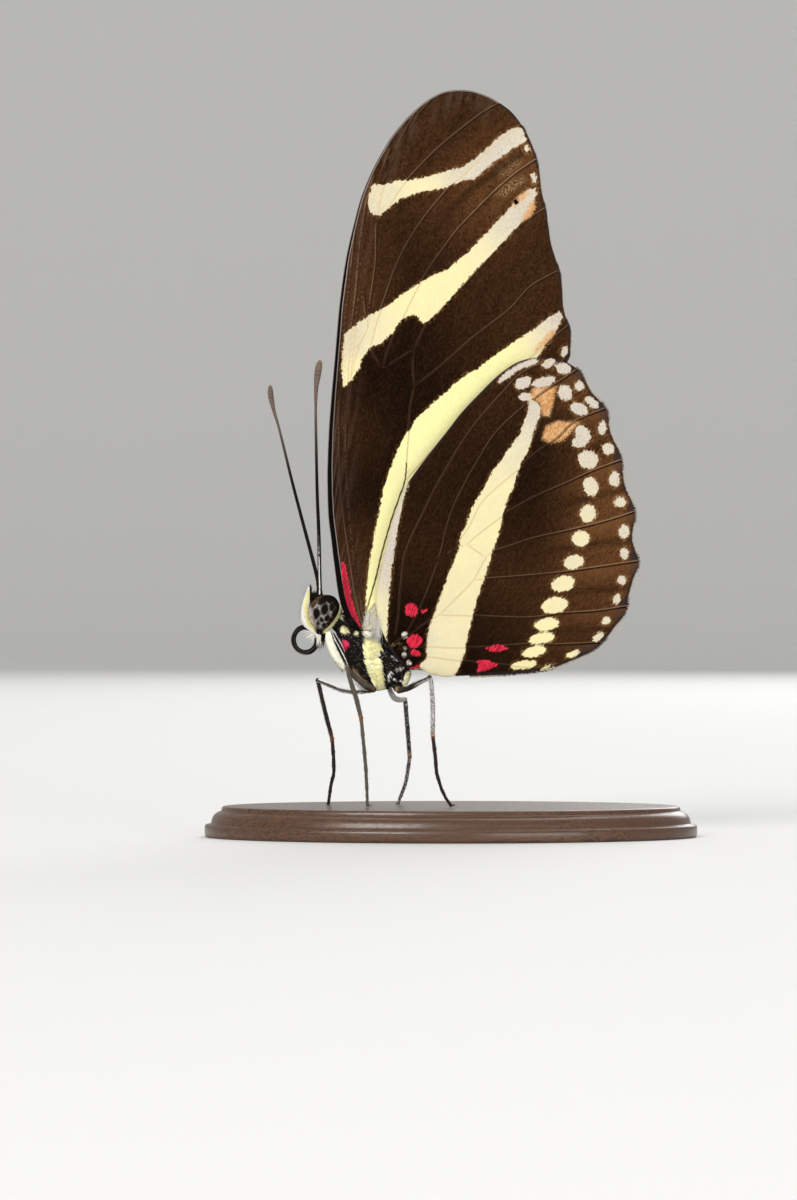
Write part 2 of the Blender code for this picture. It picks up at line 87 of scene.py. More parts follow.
def spline(points, step, closed=False):
    """Smooth curve through the points, cut into even steps."""
    points = np.array(points, float)
    count = len(points)
    spans = count if closed else count - 1
    shares = np.linspace(0.0, 1.0, 12, endpoint=False)[:, None]
    fine = []
    for index in range(spans):
        if closed:
            a, b, c, d = (points[(index + shift) % count] for shift in (-1, 0, 1, 2))
        else:
            a, b, c, d = (points[min(max(index + shift, 0), count - 1)] for shift in (-1, 0, 1, 2))
        t, t2, t3 = shares, shares**2, shares**3
        fine.append(
            a * (-0.5 * t3 + t2 - 0.5 * t)
            + b * (1.5 * t3 - 2.5 * t2 + 1.0)
            + c * (-1.5 * t3 + 2.0 * t2 + 0.5 * t)
            + d * (0.5 * t3 - 0.5 * t2)
        )
    fine.append((points[0] if closed else points[-1])[None, :])
    fine = np.concatenate(fine)
    lengths = lengths_along(fine)
    pieces = max(2, round(lengths[-1] / step))
    wanted = np.linspace(0.0, lengths[-1], pieces + 1)
    path = np.stack([np.interp(wanted, lengths, column) for column in fine.T], axis=1)
    return path[:-1] if closed else path


def path_distance(points, path):
    """Distance of each point from a line of points."""
    best = np.full(len(points), 1e9)
    for start, end in zip(path[:-1], path[1:]):
        along = end - start
        share = np.clip((points - start) @ along / max(along @ along, 1e-12), 0.0, 1.0)
        best = np.minimum(best, np.linalg.norm(points - start - share[:, None] * along, axis=1))
    return best


def path_side(points, path):
    """Distance from a flat line of points, above nothing on its left and below on its right."""
    best = np.full(len(points), 1e9)
    for start, end in zip(path[:-1], path[1:]):
        along, offset = end - start, points - start
        share = np.clip(offset @ along / max(along @ along, 1e-12), 0.0, 1.0)
        gap = np.linalg.norm(offset - share[:, None] * along, axis=1)
        left = along[0] * offset[:, 1] >= along[1] * offset[:, 0]
        best = np.where(gap < np.abs(best), np.where(left, gap, -gap), best)
    return best


def inside(points, ring):
    """Which points lie inside a closed ring."""
    result = np.zeros(len(points), bool)
    for start, end in zip(ring, np.roll(ring, -1, axis=0)):
        if start[1] == end[1]:
            continue
        spans = (start[1] > points[:, 1]) != (end[1] > points[:, 1])
        crossing = start[0] + (points[:, 1] - start[1]) * (end[0] - start[0]) / (end[1] - start[1])
        result ^= spans & (points[:, 0] < crossing)
    return result


def ring_distance(points, ring):
    """Distance from the edge of a closed ring: above nothing inside it, below outside."""
    closed = np.concatenate([ring, ring[:1]])
    return np.where(inside(points, ring), 1.0, -1.0) * path_distance(points, closed)


def smooth_step(value, low, high):
    """Nothing below the low value, one above the high value, and a soft rise between them."""
    share = np.clip((value - low) / (high - low), 0.0, 1.0)
    return share * share * (3.0 - 2.0 * share)


def lengths_along(path):
    """Distance of each point of a path from its start."""
    return np.concatenate([[0.0], np.cumsum(np.linalg.norm(np.diff(path, axis=0), axis=1))])


def unit(vectors):
    """The same directions, each one mm long."""
    return vectors / np.linalg.norm(vectors, axis=1)[:, None]


def round_angles(count):
    """Even steps of angle once round."""
    return np.linspace(0.0, math.tau, count, endpoint=False)


def tube_faces(rings, columns):
    """Quads between rings of points, and triangles to the two points that close the ends."""
    index = np.arange(columns)
    following = (index + 1) % columns
    start = np.arange(rings - 1)[:, None] * columns
    quads = np.stack([start + index, start + following, start + columns + following,
                      start + columns + index], axis=2).reshape(-1, 4)
    count, top = rings * columns, (rings - 1) * columns
    start_cap = np.stack([np.full(columns, count), following, index], axis=1)
    end_cap = np.stack([np.full(columns, count + 1), top + index, top + following], axis=1)
    return quads, np.concatenate([start_cap, end_cap])


def make_mesh(name, verts, faces, material, attributes=None, uv=None, slot=None, replaces=()):
    """Mesh object from places in mm, with named values for each vertex, riding on the model."""
    mesh = bpy.data.meshes.new(name)
    verts = np.asarray(verts, float) * MM
    faces = [np.asarray(group, int) for group in (faces if isinstance(faces, list) else [faces])]
    corners = np.concatenate([group.ravel() for group in faces])
    sizes = np.concatenate([np.full(len(group), group.shape[1]) for group in faces])
    mesh.vertices.add(len(verts))
    mesh.vertices.foreach_set("co", verts.astype(np.float32).ravel())
    mesh.loops.add(len(corners))
    mesh.loops.foreach_set("vertex_index", corners.astype(np.int32))
    mesh.polygons.add(len(sizes))
    starts = np.concatenate([[0], np.cumsum(sizes)[:-1]])
    mesh.polygons.foreach_set("loop_start", starts.astype(np.int32))
    mesh.update(calc_edges=True)
    mesh.validate()
    mesh.polygons.foreach_set("use_smooth", np.full(len(mesh.polygons), True))
    for key, values in (attributes or {}).items():
        layer = mesh.attributes.new(key, "FLOAT", "POINT")
        layer.data.foreach_set("value", np.asarray(values, np.float32))
    if uv is not None:
        uv = np.asarray(uv, np.float32)
        if len(uv) != len(mesh.loops):
            index = np.zeros(len(mesh.loops), np.int32)
            mesh.loops.foreach_get("vertex_index", index)
            uv = uv[index]
        layer = mesh.uv_layers.new(name="OFBake")
        layer.data.foreach_set("uv", uv.ravel())
    mesh.materials.append(material)
    item = bpy.data.objects.new(name, mesh)
    bpy.context.scene.collection.objects.link(item)
    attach(item, "root")
    if replaces:
        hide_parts(*replaces)
    return item


class Paint:
    """A material that is put together from nodes, one short call for each."""

    def __init__(self, name, roughness=0.6, **sockets):
        self.material = bpy.data.materials.new(name)
        self.material.use_nodes = True
        self.tree = self.material.node_tree
        self.shader = self.tree.nodes["Principled BSDF"]
        self.shader.inputs["Roughness"].default_value = roughness
        for key, value in sockets.items():
            self.shader.inputs[key.replace("_", " ")].default_value = value
        self.place = None

    def put(self, socket, value):
        if isinstance(value, bpy.types.NodeSocket):
            self.tree.links.new(value, socket)
        elif isinstance(value, (tuple, list)) and len(socket.default_value) == 4:
            socket.default_value = (*value, 1.0)[:4]
        else:
            socket.default_value = value

    def node(self, kind, **settings):
        made = self.tree.nodes.new("ShaderNode" + kind)
        for key, value in settings.items():
            setattr(made, key, value)
        return made

    def value(self, name):
        return self.node("Attribute", attribute_name=name).outputs["Fac"]

    def math(self, operation, first, second=0.0, clamp=False):
        made = self.node("Math", operation=operation, use_clamp=clamp)
        self.put(made.inputs[0], first)
        self.put(made.inputs[1], second)
        return made.outputs[0]

    def add(self, first, second):
        return self.math("ADD", first, second)

    def times(self, first, second):
        return self.math("MULTIPLY", first, second)

    def centred(self, pattern, amount):
        """How far a pattern is above or below its middle, times an amount."""
        return self.times(self.add(pattern, -0.5), amount)

    def step(self, value, low, high, to_low=0.0, to_high=1.0):
        made = self.node("MapRange", interpolation_type="SMOOTHSTEP")
        for socket, entry in zip(made.inputs, (value, low, high, to_low, to_high)):
            self.put(socket, entry)
        return made.outputs[0]

    def fade(self, value, low, high, top=1.0):
        """Full below the low value and nothing above the high one."""
        return self.step(value, low, high, top, 0.0)

    def mix(self, share, first, second):
        made = self.node("Mix", data_type="RGBA")
        self.put(made.inputs["Factor"], share)
        self.put(made.inputs[6], first)
        self.put(made.inputs[7], second)
        return made.outputs[2]

    def millimetres(self):
        """The place on the object in millimetres."""
        if self.place is None:
            coordinate = self.node("TexCoord")
            scaled = self.node("VectorMath", operation="SCALE")
            self.tree.links.new(coordinate.outputs["Object"], scaled.inputs[0])
            scaled.inputs["Scale"].default_value = 1.0 / MM
            self.place = scaled.outputs[0]
        return self.place

    def stretch(self, vector, scale):
        made = self.node("VectorMath", operation="MULTIPLY")
        self.put(made.inputs[0], vector)
        made.inputs[1].default_value = scale
        return made.outputs[0]

    def noise(self, scale, detail=3.0, vector=None, roughness=0.55):
        made = self.node("TexNoise")
        self.put(made.inputs["Vector"], self.millimetres() if vector is None else vector)
        made.inputs["Scale"].default_value = scale
        made.inputs["Detail"].default_value = detail
        made.inputs["Roughness"].default_value = roughness
        return made.outputs["Fac"]

    def cells(self, scale, vector=None, flat=False):
        """Small cells: how far from a cell's middle, and one random value for each cell."""
        made = self.node("TexVoronoi", voronoi_dimensions="2D" if flat else "3D")
        self.put(made.inputs["Vector"], self.millimetres() if vector is None else vector)
        made.inputs["Scale"].default_value = scale
        split = self.node("SeparateColor")
        self.tree.links.new(made.outputs["Color"], split.inputs[0])
        return made.outputs["Distance"], split.outputs[0]

    def pair(self, first, second):
        made = self.node("CombineXYZ")
        self.put(made.inputs[0], first)
        self.put(made.inputs[1], second)
        return made.outputs[0]

    def colour(self, value):
        self.put(self.shader.inputs["Base Color"], value)

    def roughness(self, value):
        self.put(self.shader.inputs["Roughness"], value)

    def bump(self, height, depth_mm, strength=1.0):
        made = self.node("Bump")
        made.inputs["Strength"].default_value = strength
        made.inputs["Distance"].default_value = depth_mm * MM
        self.put(made.inputs["Height"], height)
        self.tree.links.new(made.outputs[0], self.shader.inputs["Normal"])


# Wing outlines and marks, in photo pixels. The inner edge of the forewing is hidden in the
# photograph and follows the species.
FORE_OUTLINE = [
    (354, 629), (346, 618), (341.8, 607), (338.8, 596), (336.7, 584), (335, 572), (333, 557),
    (330.7, 537), (328.3, 517), (327.3, 491), (327.3, 465), (328.7, 430), (331.3, 395), (334.7, 357),
    (339.4, 304), (346, 258), (355.5, 217), (361.6, 196), (370.3, 174.5), (379.8, 156), (389.3, 140),
    (400, 126), (410, 115), (420, 106), (430, 98.5), (441, 93), (450, 90.7), (461, 90), (471, 91),
    (480, 93.5), (490, 97.5), (498.5, 102.5), (510, 111), (519, 121.6), (526, 133), (532, 146),
    (536, 158), (539, 172), (541, 190), (545, 208), (548, 226), (550.5, 243), (555, 258), (559.5, 272),
    (561.8, 288), (562.6, 304), (565, 316), (569, 326), (570.5, 338), (569.8, 350), (566, 362),
    (540, 400), (500, 452), (470, 490), (430, 522), (406, 545), (392, 562), (384, 585), (379, 606),
    (375, 628),
]
FORE_COSTA = FORE_OUTLINE[:32]
FORE_VEINS = {
    "costa rib": [
        (350, 606), (341, 577), (335, 540), (331.5, 495), (331.5, 450), (335, 395), (341, 330),
        (349, 270),
    ],
    "subcosta": [
        (361, 622), (357, 600), (351, 560), (345, 520), (341, 480), (340, 430), (341, 380), (346, 325),
        (352, 268), (356, 228),
    ],
    "radius": [
        (363, 618), (359, 590), (355, 555), (350, 510), (347, 465), (347, 420), (350, 385), (357, 352),
        (368, 328),
    ],
    "radius 1": [(347, 420), (348, 380), (351, 340), (357, 290), (361, 245), (367, 205), (374, 180)],
    "radius 2": [(350, 385), (354, 345), (360, 300), (364, 262), (368, 222), (378, 184), (391, 150)],
    "radius 3": [
        (368, 328), (365, 300), (363, 279), (363.5, 250), (367, 224), (375, 195), (389, 163),
        (405, 133), (416, 113),
    ],
    "radius 4": [
        (368, 328), (372, 295), (376.5, 262), (377, 232), (379, 207), (386, 180), (400, 148),
        (418, 117), (432, 100),
    ],
    "radius 5": [
        (378, 222), (389, 207), (400, 190), (411, 177), (431, 156), (450, 139), (481, 115), (500, 104),
    ],
    "media 1": [
        (371.5, 343), (377, 322), (382, 308), (388, 291), (394.5, 272), (402, 255), (410, 240),
        (420.5, 224), (431, 210), (441, 198), (453.5, 184), (470, 169), (495, 145), (521, 126),
    ],
    "media 2": [
        (383, 368), (389, 349), (395, 334), (401, 322), (407, 310), (413.6, 296), (422, 281),
        (433, 264), (446, 246), (459, 229), (472.5, 215), (486, 201), (504, 184), (519, 172),
        (536.2, 160.4),
    ],
    "media 3": [
        (414.5, 350), (419, 340), (424, 330), (431, 319), (445, 305), (470, 280), (497, 250),
        (513, 232), (530, 219), (545, 209.4),
    ],
    "cubitus 1": [
        (415, 386), (431, 374.5), (452, 357), (471, 340), (492, 324), (512, 308), (530, 288),
        (548, 277), (559, 271.6),
    ],
    "cubitus 2": [
        (405, 480), (420, 464), (433, 449), (465, 415), (500, 384), (530, 358), (568.6, 326.2),
    ],
    "second anal": [
        (369, 600), (378, 575), (395, 548), (430, 512), (470, 474), (510, 430), (545, 385), (566, 358),
    ],
    "cubitus stem": [
        (366, 612), (371, 595), (376, 577), (381, 556), (386, 538), (392, 518), (399, 498), (405, 480),
        (407, 455), (409, 430), (411, 405), (414.5, 387), (413.5, 365), (414.5, 350),
    ],
    "cell end": [(371.5, 343), (370.5, 352), (376, 361), (383, 368), (398, 360), (414.5, 350)],
}
FORE_CREAM = {
    "tip band": [
        (372, 184), (382, 185.5), (396, 181.5), (407, 180.5), (417, 179), (427.5, 177), (440, 173.6),
        (450, 170), (461, 168), (471, 162), (481, 153.5), (491, 145), (500, 136), (509, 130),
        (517.6, 127.7), (522, 129.4), (526, 138), (525.4, 142.4), (514, 147.6), (504, 155.4),
        (493, 163), (483, 172), (473.4, 179.5), (464, 180), (455, 184), (445, 188), (433, 190.4),
        (420.5, 192), (410, 196), (401.5, 199), (394.5, 204), (388, 209), (379, 216), (370, 213),
        (367.5, 203),
    ],
    "middle band": [
        (345, 333), (358, 323), (370, 315), (381, 310), (391, 303.6), (401.5, 295), (412, 287.5),
        (422, 282), (434, 275), (446.5, 270), (459, 260), (471, 249.5), (481, 239), (491.6, 228),
        (500, 218.5), (509, 209), (517.6, 199), (526, 191), (536.7, 188), (536.5, 194), (534, 201),
        (530.6, 212), (521, 222.5), (509, 236), (495, 250.5), (481, 265), (467, 279.5), (453.5, 295),
        (443, 307), (432.7, 317.5), (424, 323.4), (420.5, 321), (417.5, 316), (413.6, 313.6),
        (408, 317), (401.5, 320), (397, 326), (394.5, 331), (387.6, 337), (381.5, 344), (374, 345),
        (370, 348), (367, 352), (362.5, 357), (359, 369), (352, 380), (343.5, 387), (341.6, 372),
        (342.5, 350),
    ],
    "long band": [
        (560, 311), (550.5, 316.5), (543.6, 321), (535, 328.5), (524.5, 335.5), (512, 343), (500, 352),
        (488, 360), (478, 369), (467, 374), (457, 381.5), (446.5, 391.5), (436, 400), (426, 410),
        (417, 417.5), (413, 424), (409, 431), (405, 436), (399, 447), (394, 459.5), (389, 472),
        (385, 484), (381.5, 499), (379, 513), (376, 527), (373, 543), (370, 557), (368, 573),
        (367, 584.5), (366, 596), (366, 610), (369, 618), (376, 612), (380, 604), (385, 585),
        (393, 562), (407, 545), (416, 512), (433, 480), (455, 450), (480, 420), (505, 392), (530, 368),
        (541, 352), (549, 340), (556, 330), (563, 318),
    ],
    "edge fleck 1": [(523, 147), (528, 145), (530, 151), (526, 153.5)],
    "edge fleck 2": [(530.5, 174), (535, 172), (537, 181), (533, 184)],
    "corner fleck": [(560, 351), (567, 345), (568.5, 353), (563, 358)],
}
FORE_RED = {
    "root stripe": [
        (341.4, 562), (344.4, 562), (348.4, 581), (351.2, 597), (354.7, 611), (358.5, 619.5),
        (361.6, 625.5), (357, 628.8), (352, 627.8), (349.3, 619), (346, 607), (343.8, 591),
        (341.8, 575),
    ],
}
FORE_ORANGE = {
    "middle band top": [
        (514, 203), (519, 196), (525, 192.5), (530, 192), (524, 198), (519, 204), (514, 209),
    ],
    "middle band foot": [(534, 201), (535, 207), (531, 217), (522, 222), (525, 214), (529, 205)],
    "long band foot": [(556, 329), (551, 340), (541, 350), (534, 352), (541, 342), (548, 333)],
}
FORE_WHITE = {"root": [(366, 613), (371, 606), (380, 602), (383, 640), (364, 640), (363, 627)]}
FORE_OCHRE = [(373.2, 604.2, 2.2, 1.0, 12), (367.6, 610, 0.9, 2.2, 0), (371.4, 616, 0.7, 3.6, -24),
              (361.2, 606, 0.6, 5, -10), (366.4, 621, 0.5, 3, 10)]
FORE_STEM = [
    (366, 612), (371, 595), (376, 577), (381, 556), (386, 538), (392, 518), (399, 498), (405, 480),
    (406.5, 462),
]
FORE_DUST = {
    "upper": [(498, 171), (507, 163), (517, 157), (522, 160), (518, 167), (508, 174), (500, 178)],
    "lower": [(494, 196), (502, 186), (513, 179), (524, 176), (527, 182), (516, 189), (506, 197)],
}
FORE_DARK = {"dot": [(514, 200), (518, 199.5), (519.5, 203), (516.5, 205), (513.5, 203.5)]}
# Fold lines of the wings, along which painted shade darkens the creases.
FORE_FOLDS = {
    "1": [(458, 268), (500, 222), (533, 196)],
    "2": [(470, 305), (504, 272), (550, 246)],
    "3": [(430, 235), (470, 190), (528, 150)],
    "4": [(400, 200), (440, 150), (480, 112)],
    "5": [(395, 220), (425, 170), (462, 118)],
    "6": [(450, 345), (500, 300), (548, 258)],
    "7": [(460, 385), (510, 345), (560, 312)],
}
# Where the pale marks run from yellow (0) over cream (0.5) to whitish (1).
FORE_TINT = [
    (370, 200, 1.0), (377, 207, 0.8), (388, 196, 0.55), (430, 184, 0.55), (458, 175, 0.85),
    (480, 163, 1.0), (510, 138, 1.0), (345, 345, 1.0), (354, 334, 1.0), (360, 350, 0.45),
    (350, 372, 0.4), (375, 330, 0.5), (420, 300, 0.42), (455, 275, 0.42), (485, 248, 0.55),
    (505, 225, 0.85), (530, 196, 1.0), (470, 383, 0.05), (505, 360, 0.05), (530, 343, 0.3),
    (545, 328, 0.9), (558, 318, 1.0), (565, 350, 0.9), (430, 425, 0.05), (410, 450, 0.05),
    (392, 490, 0.1), (380, 540, 0.12), (372, 590, 0.1), (526, 150, 0.8), (534, 178, 0.9),
]
# Where the brown is darker (0) or lighter (1).
FORE_LIGHT = [
    (345, 300, 0.65), (338, 420, 0.35), (350, 560, 0.3), (365, 480, 0.05), (385, 400, 0.03),
    (400, 260, 0.08), (430, 130, 0.28), (470, 110, 0.28), (440, 210, 0.38), (470, 200, 0.65),
    (500, 175, 0.8), (420, 240, 0.14), (480, 300, 0.24), (530, 240, 0.28), (520, 290, 0.28),
    (550, 300, 0.3), (470, 340, 0.2), (430, 345, 0.05), (395, 345, 0.05), (375, 380, 0.03),
    (372, 240, 0.3), (355, 250, 0.55),
]

HIND_OUTLINE = [
    (386, 640), (380, 625), (376.5, 610), (377, 590), (382, 565), (388, 540), (393, 520), (400, 500),
    (408, 483), (420, 466), (433, 449), (448, 430), (462, 412), (480, 393), (493, 380), (505, 370),
    (517, 362.5), (530, 358.5), (543, 357.5), (556, 359), (568, 363), (577, 369), (583, 377),
    (590, 391), (598, 400), (604.5, 407), (608, 417), (608.5, 427), (611.5, 437), (616, 446),
    (620, 455), (621.5, 465), (622.3, 474), (623.5, 483), (626.5, 492), (631.5, 502), (634, 511),
    (633.8, 521.6), (632, 530), (631.5, 539), (634, 549), (637.8, 560), (636.5, 569), (632.5, 579),
    (630, 588), (627.6, 597), (626.6, 606), (622, 617), (613.5, 627), (607.5, 635.5), (599.6, 644),
    (587, 653), (571, 660), (556, 666), (542, 670), (524, 672), (506, 673.7), (481, 675), (457, 676),
    (446.6, 677), (436, 675.5), (428, 673.2), (419, 668), (409, 669), (398, 660), (391, 650),
]
HIND_VEINS = {
    "subcosta": [
        (396, 634), (399, 615), (400, 600), (402.5, 577), (405, 556.5), (413.6, 534), (424, 513),
        (434, 492), (446.5, 470), (460, 447), (474, 426.5), (490, 407.5), (504, 392), (522, 374),
        (551, 360),
    ],
    "radial sector": [
        (408, 632), (418, 614), (424, 601), (428.6, 590), (434, 575.6), (439, 561), (443, 547),
        (446.6, 531), (454, 508), (465.6, 484), (479.5, 459.5), (495, 435), (514, 416), (533, 400.5),
        (550.5, 388), (578, 370),
    ],
    "media 1": [
        (439, 561), (448, 555), (455, 548), (462, 537), (470, 525), (482, 502), (501, 484), (519, 469),
        (538, 452), (557, 439), (575, 422), (605, 409.4),
    ],
    "media 2": [
        (466, 545), (480, 533), (496, 521), (512, 510), (538, 496), (566, 484), (594, 471), (621, 461),
    ],
    "media 3": [(491, 552), (506, 548), (533, 539), (569, 531), (605, 522), (633, 513)],
    "cubitus 1": [(473.6, 580), (491.6, 579), (524, 576.5), (560, 573), (596, 568), (637, 562)],
    "cubitus 2": [
        (438.5, 615), (470, 616), (506, 618), (533, 618), (560, 614), (596, 611.6), (626, 607),
    ],
    "cubitus stem": [
        (396, 642), (415, 631), (430, 620), (438.5, 615), (452, 602.6), (473.6, 580), (482.6, 563),
        (491, 552),
    ],
    "cell end": [(455, 548), (466, 545), (475, 550), (484, 556), (491, 552)],
    "first anal": [
        (400, 650), (428, 647), (452, 648), (488, 647.6), (524, 645), (560, 645), (600, 643),
    ],
    "second anal": [(402, 656), (428.6, 656.6), (443, 659), (470, 662), (510, 666), (545, 669)],
}
HIND_CREAM = {
    "band": [
        (529.6, 400), (528, 409), (526, 416.5), (523, 424), (520, 433), (515, 441), (508, 450),
        (501, 461), (492, 472.5), (486, 484), (480, 495), (475, 502), (470, 513), (466, 525),
        (461, 534), (459, 547), (454, 561), (448, 576), (443, 590), (438, 603), (433, 617),
        (429.5, 626), (427, 637), (426.4, 649), (427, 658), (422, 663), (419, 666.5), (425, 673),
        (437, 678), (453, 679), (459, 667), (463, 658), (465.5, 648), (468, 633), (472, 619),
        (475, 606), (480, 590), (486, 574), (490, 559), (495, 545), (499, 532), (503.3, 514),
        (505.5, 506), (509, 495), (515, 484), (518, 471), (522, 461), (528, 452), (532, 437),
        (536, 426), (540, 416.5), (541, 406), (535, 401),
    ],
    "root strip": [
        (386, 642), (378, 625), (374, 610), (375, 590), (380, 562), (386, 537), (391, 517), (397, 500),
        (403, 487), (408, 478), (408, 486), (404, 498), (400, 516), (396, 540), (393, 560),
        (391.5, 575), (389.5, 590), (388.5, 605), (387.5, 620), (387, 640),
    ],
    "front streak": [
        (497, 381), (506, 372), (518, 364.5), (530, 359.6), (541, 358), (537, 363), (526, 367),
        (516, 372), (508, 378), (500, 383.5),
    ],
}
# Round pale spots: middle, half width, half height and tilt in degrees.
HIND_SPOTS = [
    (548.6, 363, 7.5, 4, 20), (563.5, 368.5, 8, 5.5, -10), (579.4, 385.7, 4.8, 5.2, 0),
    (565, 392.5, 7, 8, 30), (544, 382, 12, 5, 16), (523, 383, 9, 6, 32), (526.5, 397, 8, 4, 0),
    (592, 402.5, 8, 4, -38), (579, 409, 9.5, 6, -22), (583, 434, 7, 9.5, 40), (580, 442, 8.5, 6, 20),
    (602.4, 427.7, 4, 7, 0), (588, 459.5, 10.5, 9, -15), (608, 449, 5.8, 6, -20),
    (590.6, 486.5, 7.2, 10, 20), (614.5, 479, 5.2, 8, 0), (588, 513.5, 8, 9, -10),
    (620, 502, 5.8, 5.5, -25), (580.7, 538.7, 9, 8, 20), (624, 531.5, 5.4, 7, 0),
    (573.5, 562, 10.5, 7.2, 12), (624, 553.5, 4.4, 5.6, 0), (563, 583.7, 12, 7.8, 12),
    (621.7, 580, 4.2, 4.8, 0), (554.6, 605.3, 13.5, 8.2, 12), (616.7, 599, 3.8, 5.5, -20),
    (546.5, 624.4, 13, 6.3, 8), (606, 621, 5, 4, 30), (541.6, 638.4, 13.5, 5.5, 10),
    (598, 637, 6.5, 3.6, 36), (534, 651.6, 12.5, 5.5, 14), (572.6, 654, 8, 2.8, 24),
    (524, 664.9, 13.5, 4.4, 8), (547.5, 666.8, 8, 1.8, 16),
]
HIND_RED_SPOTS = [
    (411, 610, 6.4, 6.8, 0), (424.5, 610.5, 3.4, 1.6, 30), (414.6, 641, 7.8, 6.8, 10),
    (415.5, 653, 5.6, 3.2, -25),
]
HIND_RED = {
    "tail fleck 1": [(485, 648.5), (493, 645.6), (500, 644.8), (510, 648), (500, 651.2), (493, 652.4)],
    "tail fleck 2": [(476, 660), (488, 660.5), (498, 664.6), (488, 670), (477, 672), (478.5, 666)],
    "root fleck": [(408, 670), (414, 665.5), (421, 664.5), (419, 669)],
}
HIND_WHITE_SPOTS = [
    (404.6, 635.2, 3.2, 2.8, 20), (404.8, 648.2, 1.6, 1.5, 0), (403.8, 654.6, 1.9, 2.2, 0),
    (409.4, 662.8, 2.4, 2.2, 0),
]
HIND_OCHRE_SPOTS = [(393, 645, 2.6, 1.8, 30), (400, 643.7, 1.6, 1.6, 0)]
HIND_ORANGE = {
    "top": [
        (533, 388.5), (545, 388), (556.7, 386.7), (554.5, 395), (553, 401.6), (549, 416.5),
        (542, 414.7), (541, 403.5), (534, 399.5), (530, 397),
    ],
    "second": [
        (546, 427), (556.7, 421.6), (568, 422.5), (579, 421.5), (570.7, 431.5), (562, 440.5),
        (551, 442.7), (542, 439),
    ],
}
HIND_FOLDS = {
    "1": [(500, 440), (555, 398)],
    "2": [(520, 450), (580, 405)],
    "3": [(525, 482), (605, 443)],
    "4": [(530, 515), (625, 488)],
    "5": [(545, 551), (634, 539)],
    "6": [(533, 595), (629, 587)],
    "7": [(490, 631), (610, 630)],
    "8": [(480, 656), (585, 652)],
}
# Areas whose stretch of wing edge carries a fringe.
FORE_FRINGE = [(520, 100), (600, 100), (600, 400), (540, 400)]
HIND_FRINGE = [(576, 340), (700, 340), (700, 720), (470, 720), (470, 640), (576, 640)]
HIND_TINT = [
    (378, 600, 0.5), (387, 585, 1.0), (393, 545, 1.0), (404, 492, 0.9), (381, 628, 0.55),
    (534, 405, 1.0), (528, 430, 0.8), (515, 460, 0.62), (495, 500, 0.55), (480, 540, 0.5),
    (465, 580, 0.55), (455, 620, 0.62), (445, 660, 0.6), (525, 375, 1.0), (560, 375, 1.0),
    (580, 400, 1.0), (585, 440, 0.95), (590, 470, 0.85), (588, 500, 0.75), (584, 530, 0.62),
    (573, 562, 0.7), (563, 584, 0.6), (554, 605, 0.55), (546, 625, 0.45), (541, 640, 0.4),
    (534, 652, 0.4), (524, 665, 0.45), (612, 460, 0.95), (622, 530, 0.9), (621, 585, 0.9),
    (600, 630, 0.8), (404, 645, 0.9),
]
HIND_LIGHT = [
    (395, 600, 0.05), (415, 567, 0.2), (430, 500, 0.12), (470, 440, 0.12), (500, 410, 0.25),
    (545, 450, 0.03), (540, 500, 0.05), (560, 460, 0.05), (600, 420, 0.7), (603, 465, 0.8),
    (605, 500, 0.95), (600, 540, 0.7), (600, 575, 0.75), (590, 600, 0.5), (530, 540, 0.15),
    (520, 590, 0.3), (500, 630, 0.12), (480, 655, 0.02), (410, 625, 0.0), (415, 660, 0.0),
    (580, 640, 0.35), (560, 660, 0.25), (610, 400, 0.5),
]

WING_ROOT = from_photo([(365, 632)], 0.0)[0]
HIND_ROOT = WING_ROOT + (2.3, -1.2)
# Distance of each wing pair from the middle plane, as in the solids.
FORE_LAYER, HIND_LAYER = 0.66, 1.56
# From where to where across the photograph a wing passes into its darker outer part. The forewing
# has none, so its places lie beyond it.
FORE_OUTER, HIND_OUTER = [(800, 0), (900, 0)], [(530, 0), (590, 0)]
# Half width in mm of each vein's rib, at the root and at the end.
FORE_RIBS = {
    "costa rib": (0.07, 0.06), "subcosta": (0.06, 0.05), "radius": (0.065, 0.05),
    "cubitus stem": (0.07, 0.055), "other": (0.05, 0.042),
}
HIND_RIBS = {"cubitus stem": (0.058, 0.048), "subcosta": (0.056, 0.046), "other": (0.046, 0.038)}
RIB_RAISE = 0.03
FORE_FRINGE_LENGTH, HIND_FRINGE_LENGTH = 0.11, 0.2
FRINGE_POINTS = 8
SHEET_STEP = 0.24
# Half width of the black stripe along the front edge, by distance from the root.
COSTA_STRIPE = ((0.0, 6.0, 14.0, 28.0, 38.0, 46.0), (0.48, 0.46, 0.36, 0.24, 0.1, 0.05))
SHEET_THICKNESS = 0.13
EDGE_THICKNESS = 0.05


def fore_layer(p):
    """Distance of the forewing from the middle plane, for places in its own plane."""
    bow = 0.15 * (1.0 - np.cos(np.clip((p[:, 1] - WING_ROOT[1] - 24.0) / 20.0, 0.0, 1.0) * np.pi))
    near_root = np.exp(-np.sum((p - WING_ROOT) ** 2, axis=1) / 3.2**2)
    return FORE_LAYER + 1.1 * near_root + bow


def hind_layer(p):
    """Distance of the hindwing from the middle plane, for places in its own plane."""
    return HIND_LAYER + 0.38 * np.exp(-(((p[:, 1] - WING_ROOT[1] + 2.2) / 2.2) ** 2))


def oval(spot):
    """Ring of points round an oval spot that is given in photo pixels."""
    x, y, half_width, half_height, tilt = spot
    turn = math.radians(-tilt)
    ring = []
    for angle in round_angles(14):
        along, across = half_width * math.cos(angle), half_height * math.sin(angle)
        ring.append((x + along * math.cos(turn) - across * math.sin(turn),
                     y + along * math.sin(turn) + across * math.cos(turn)))
    return ring


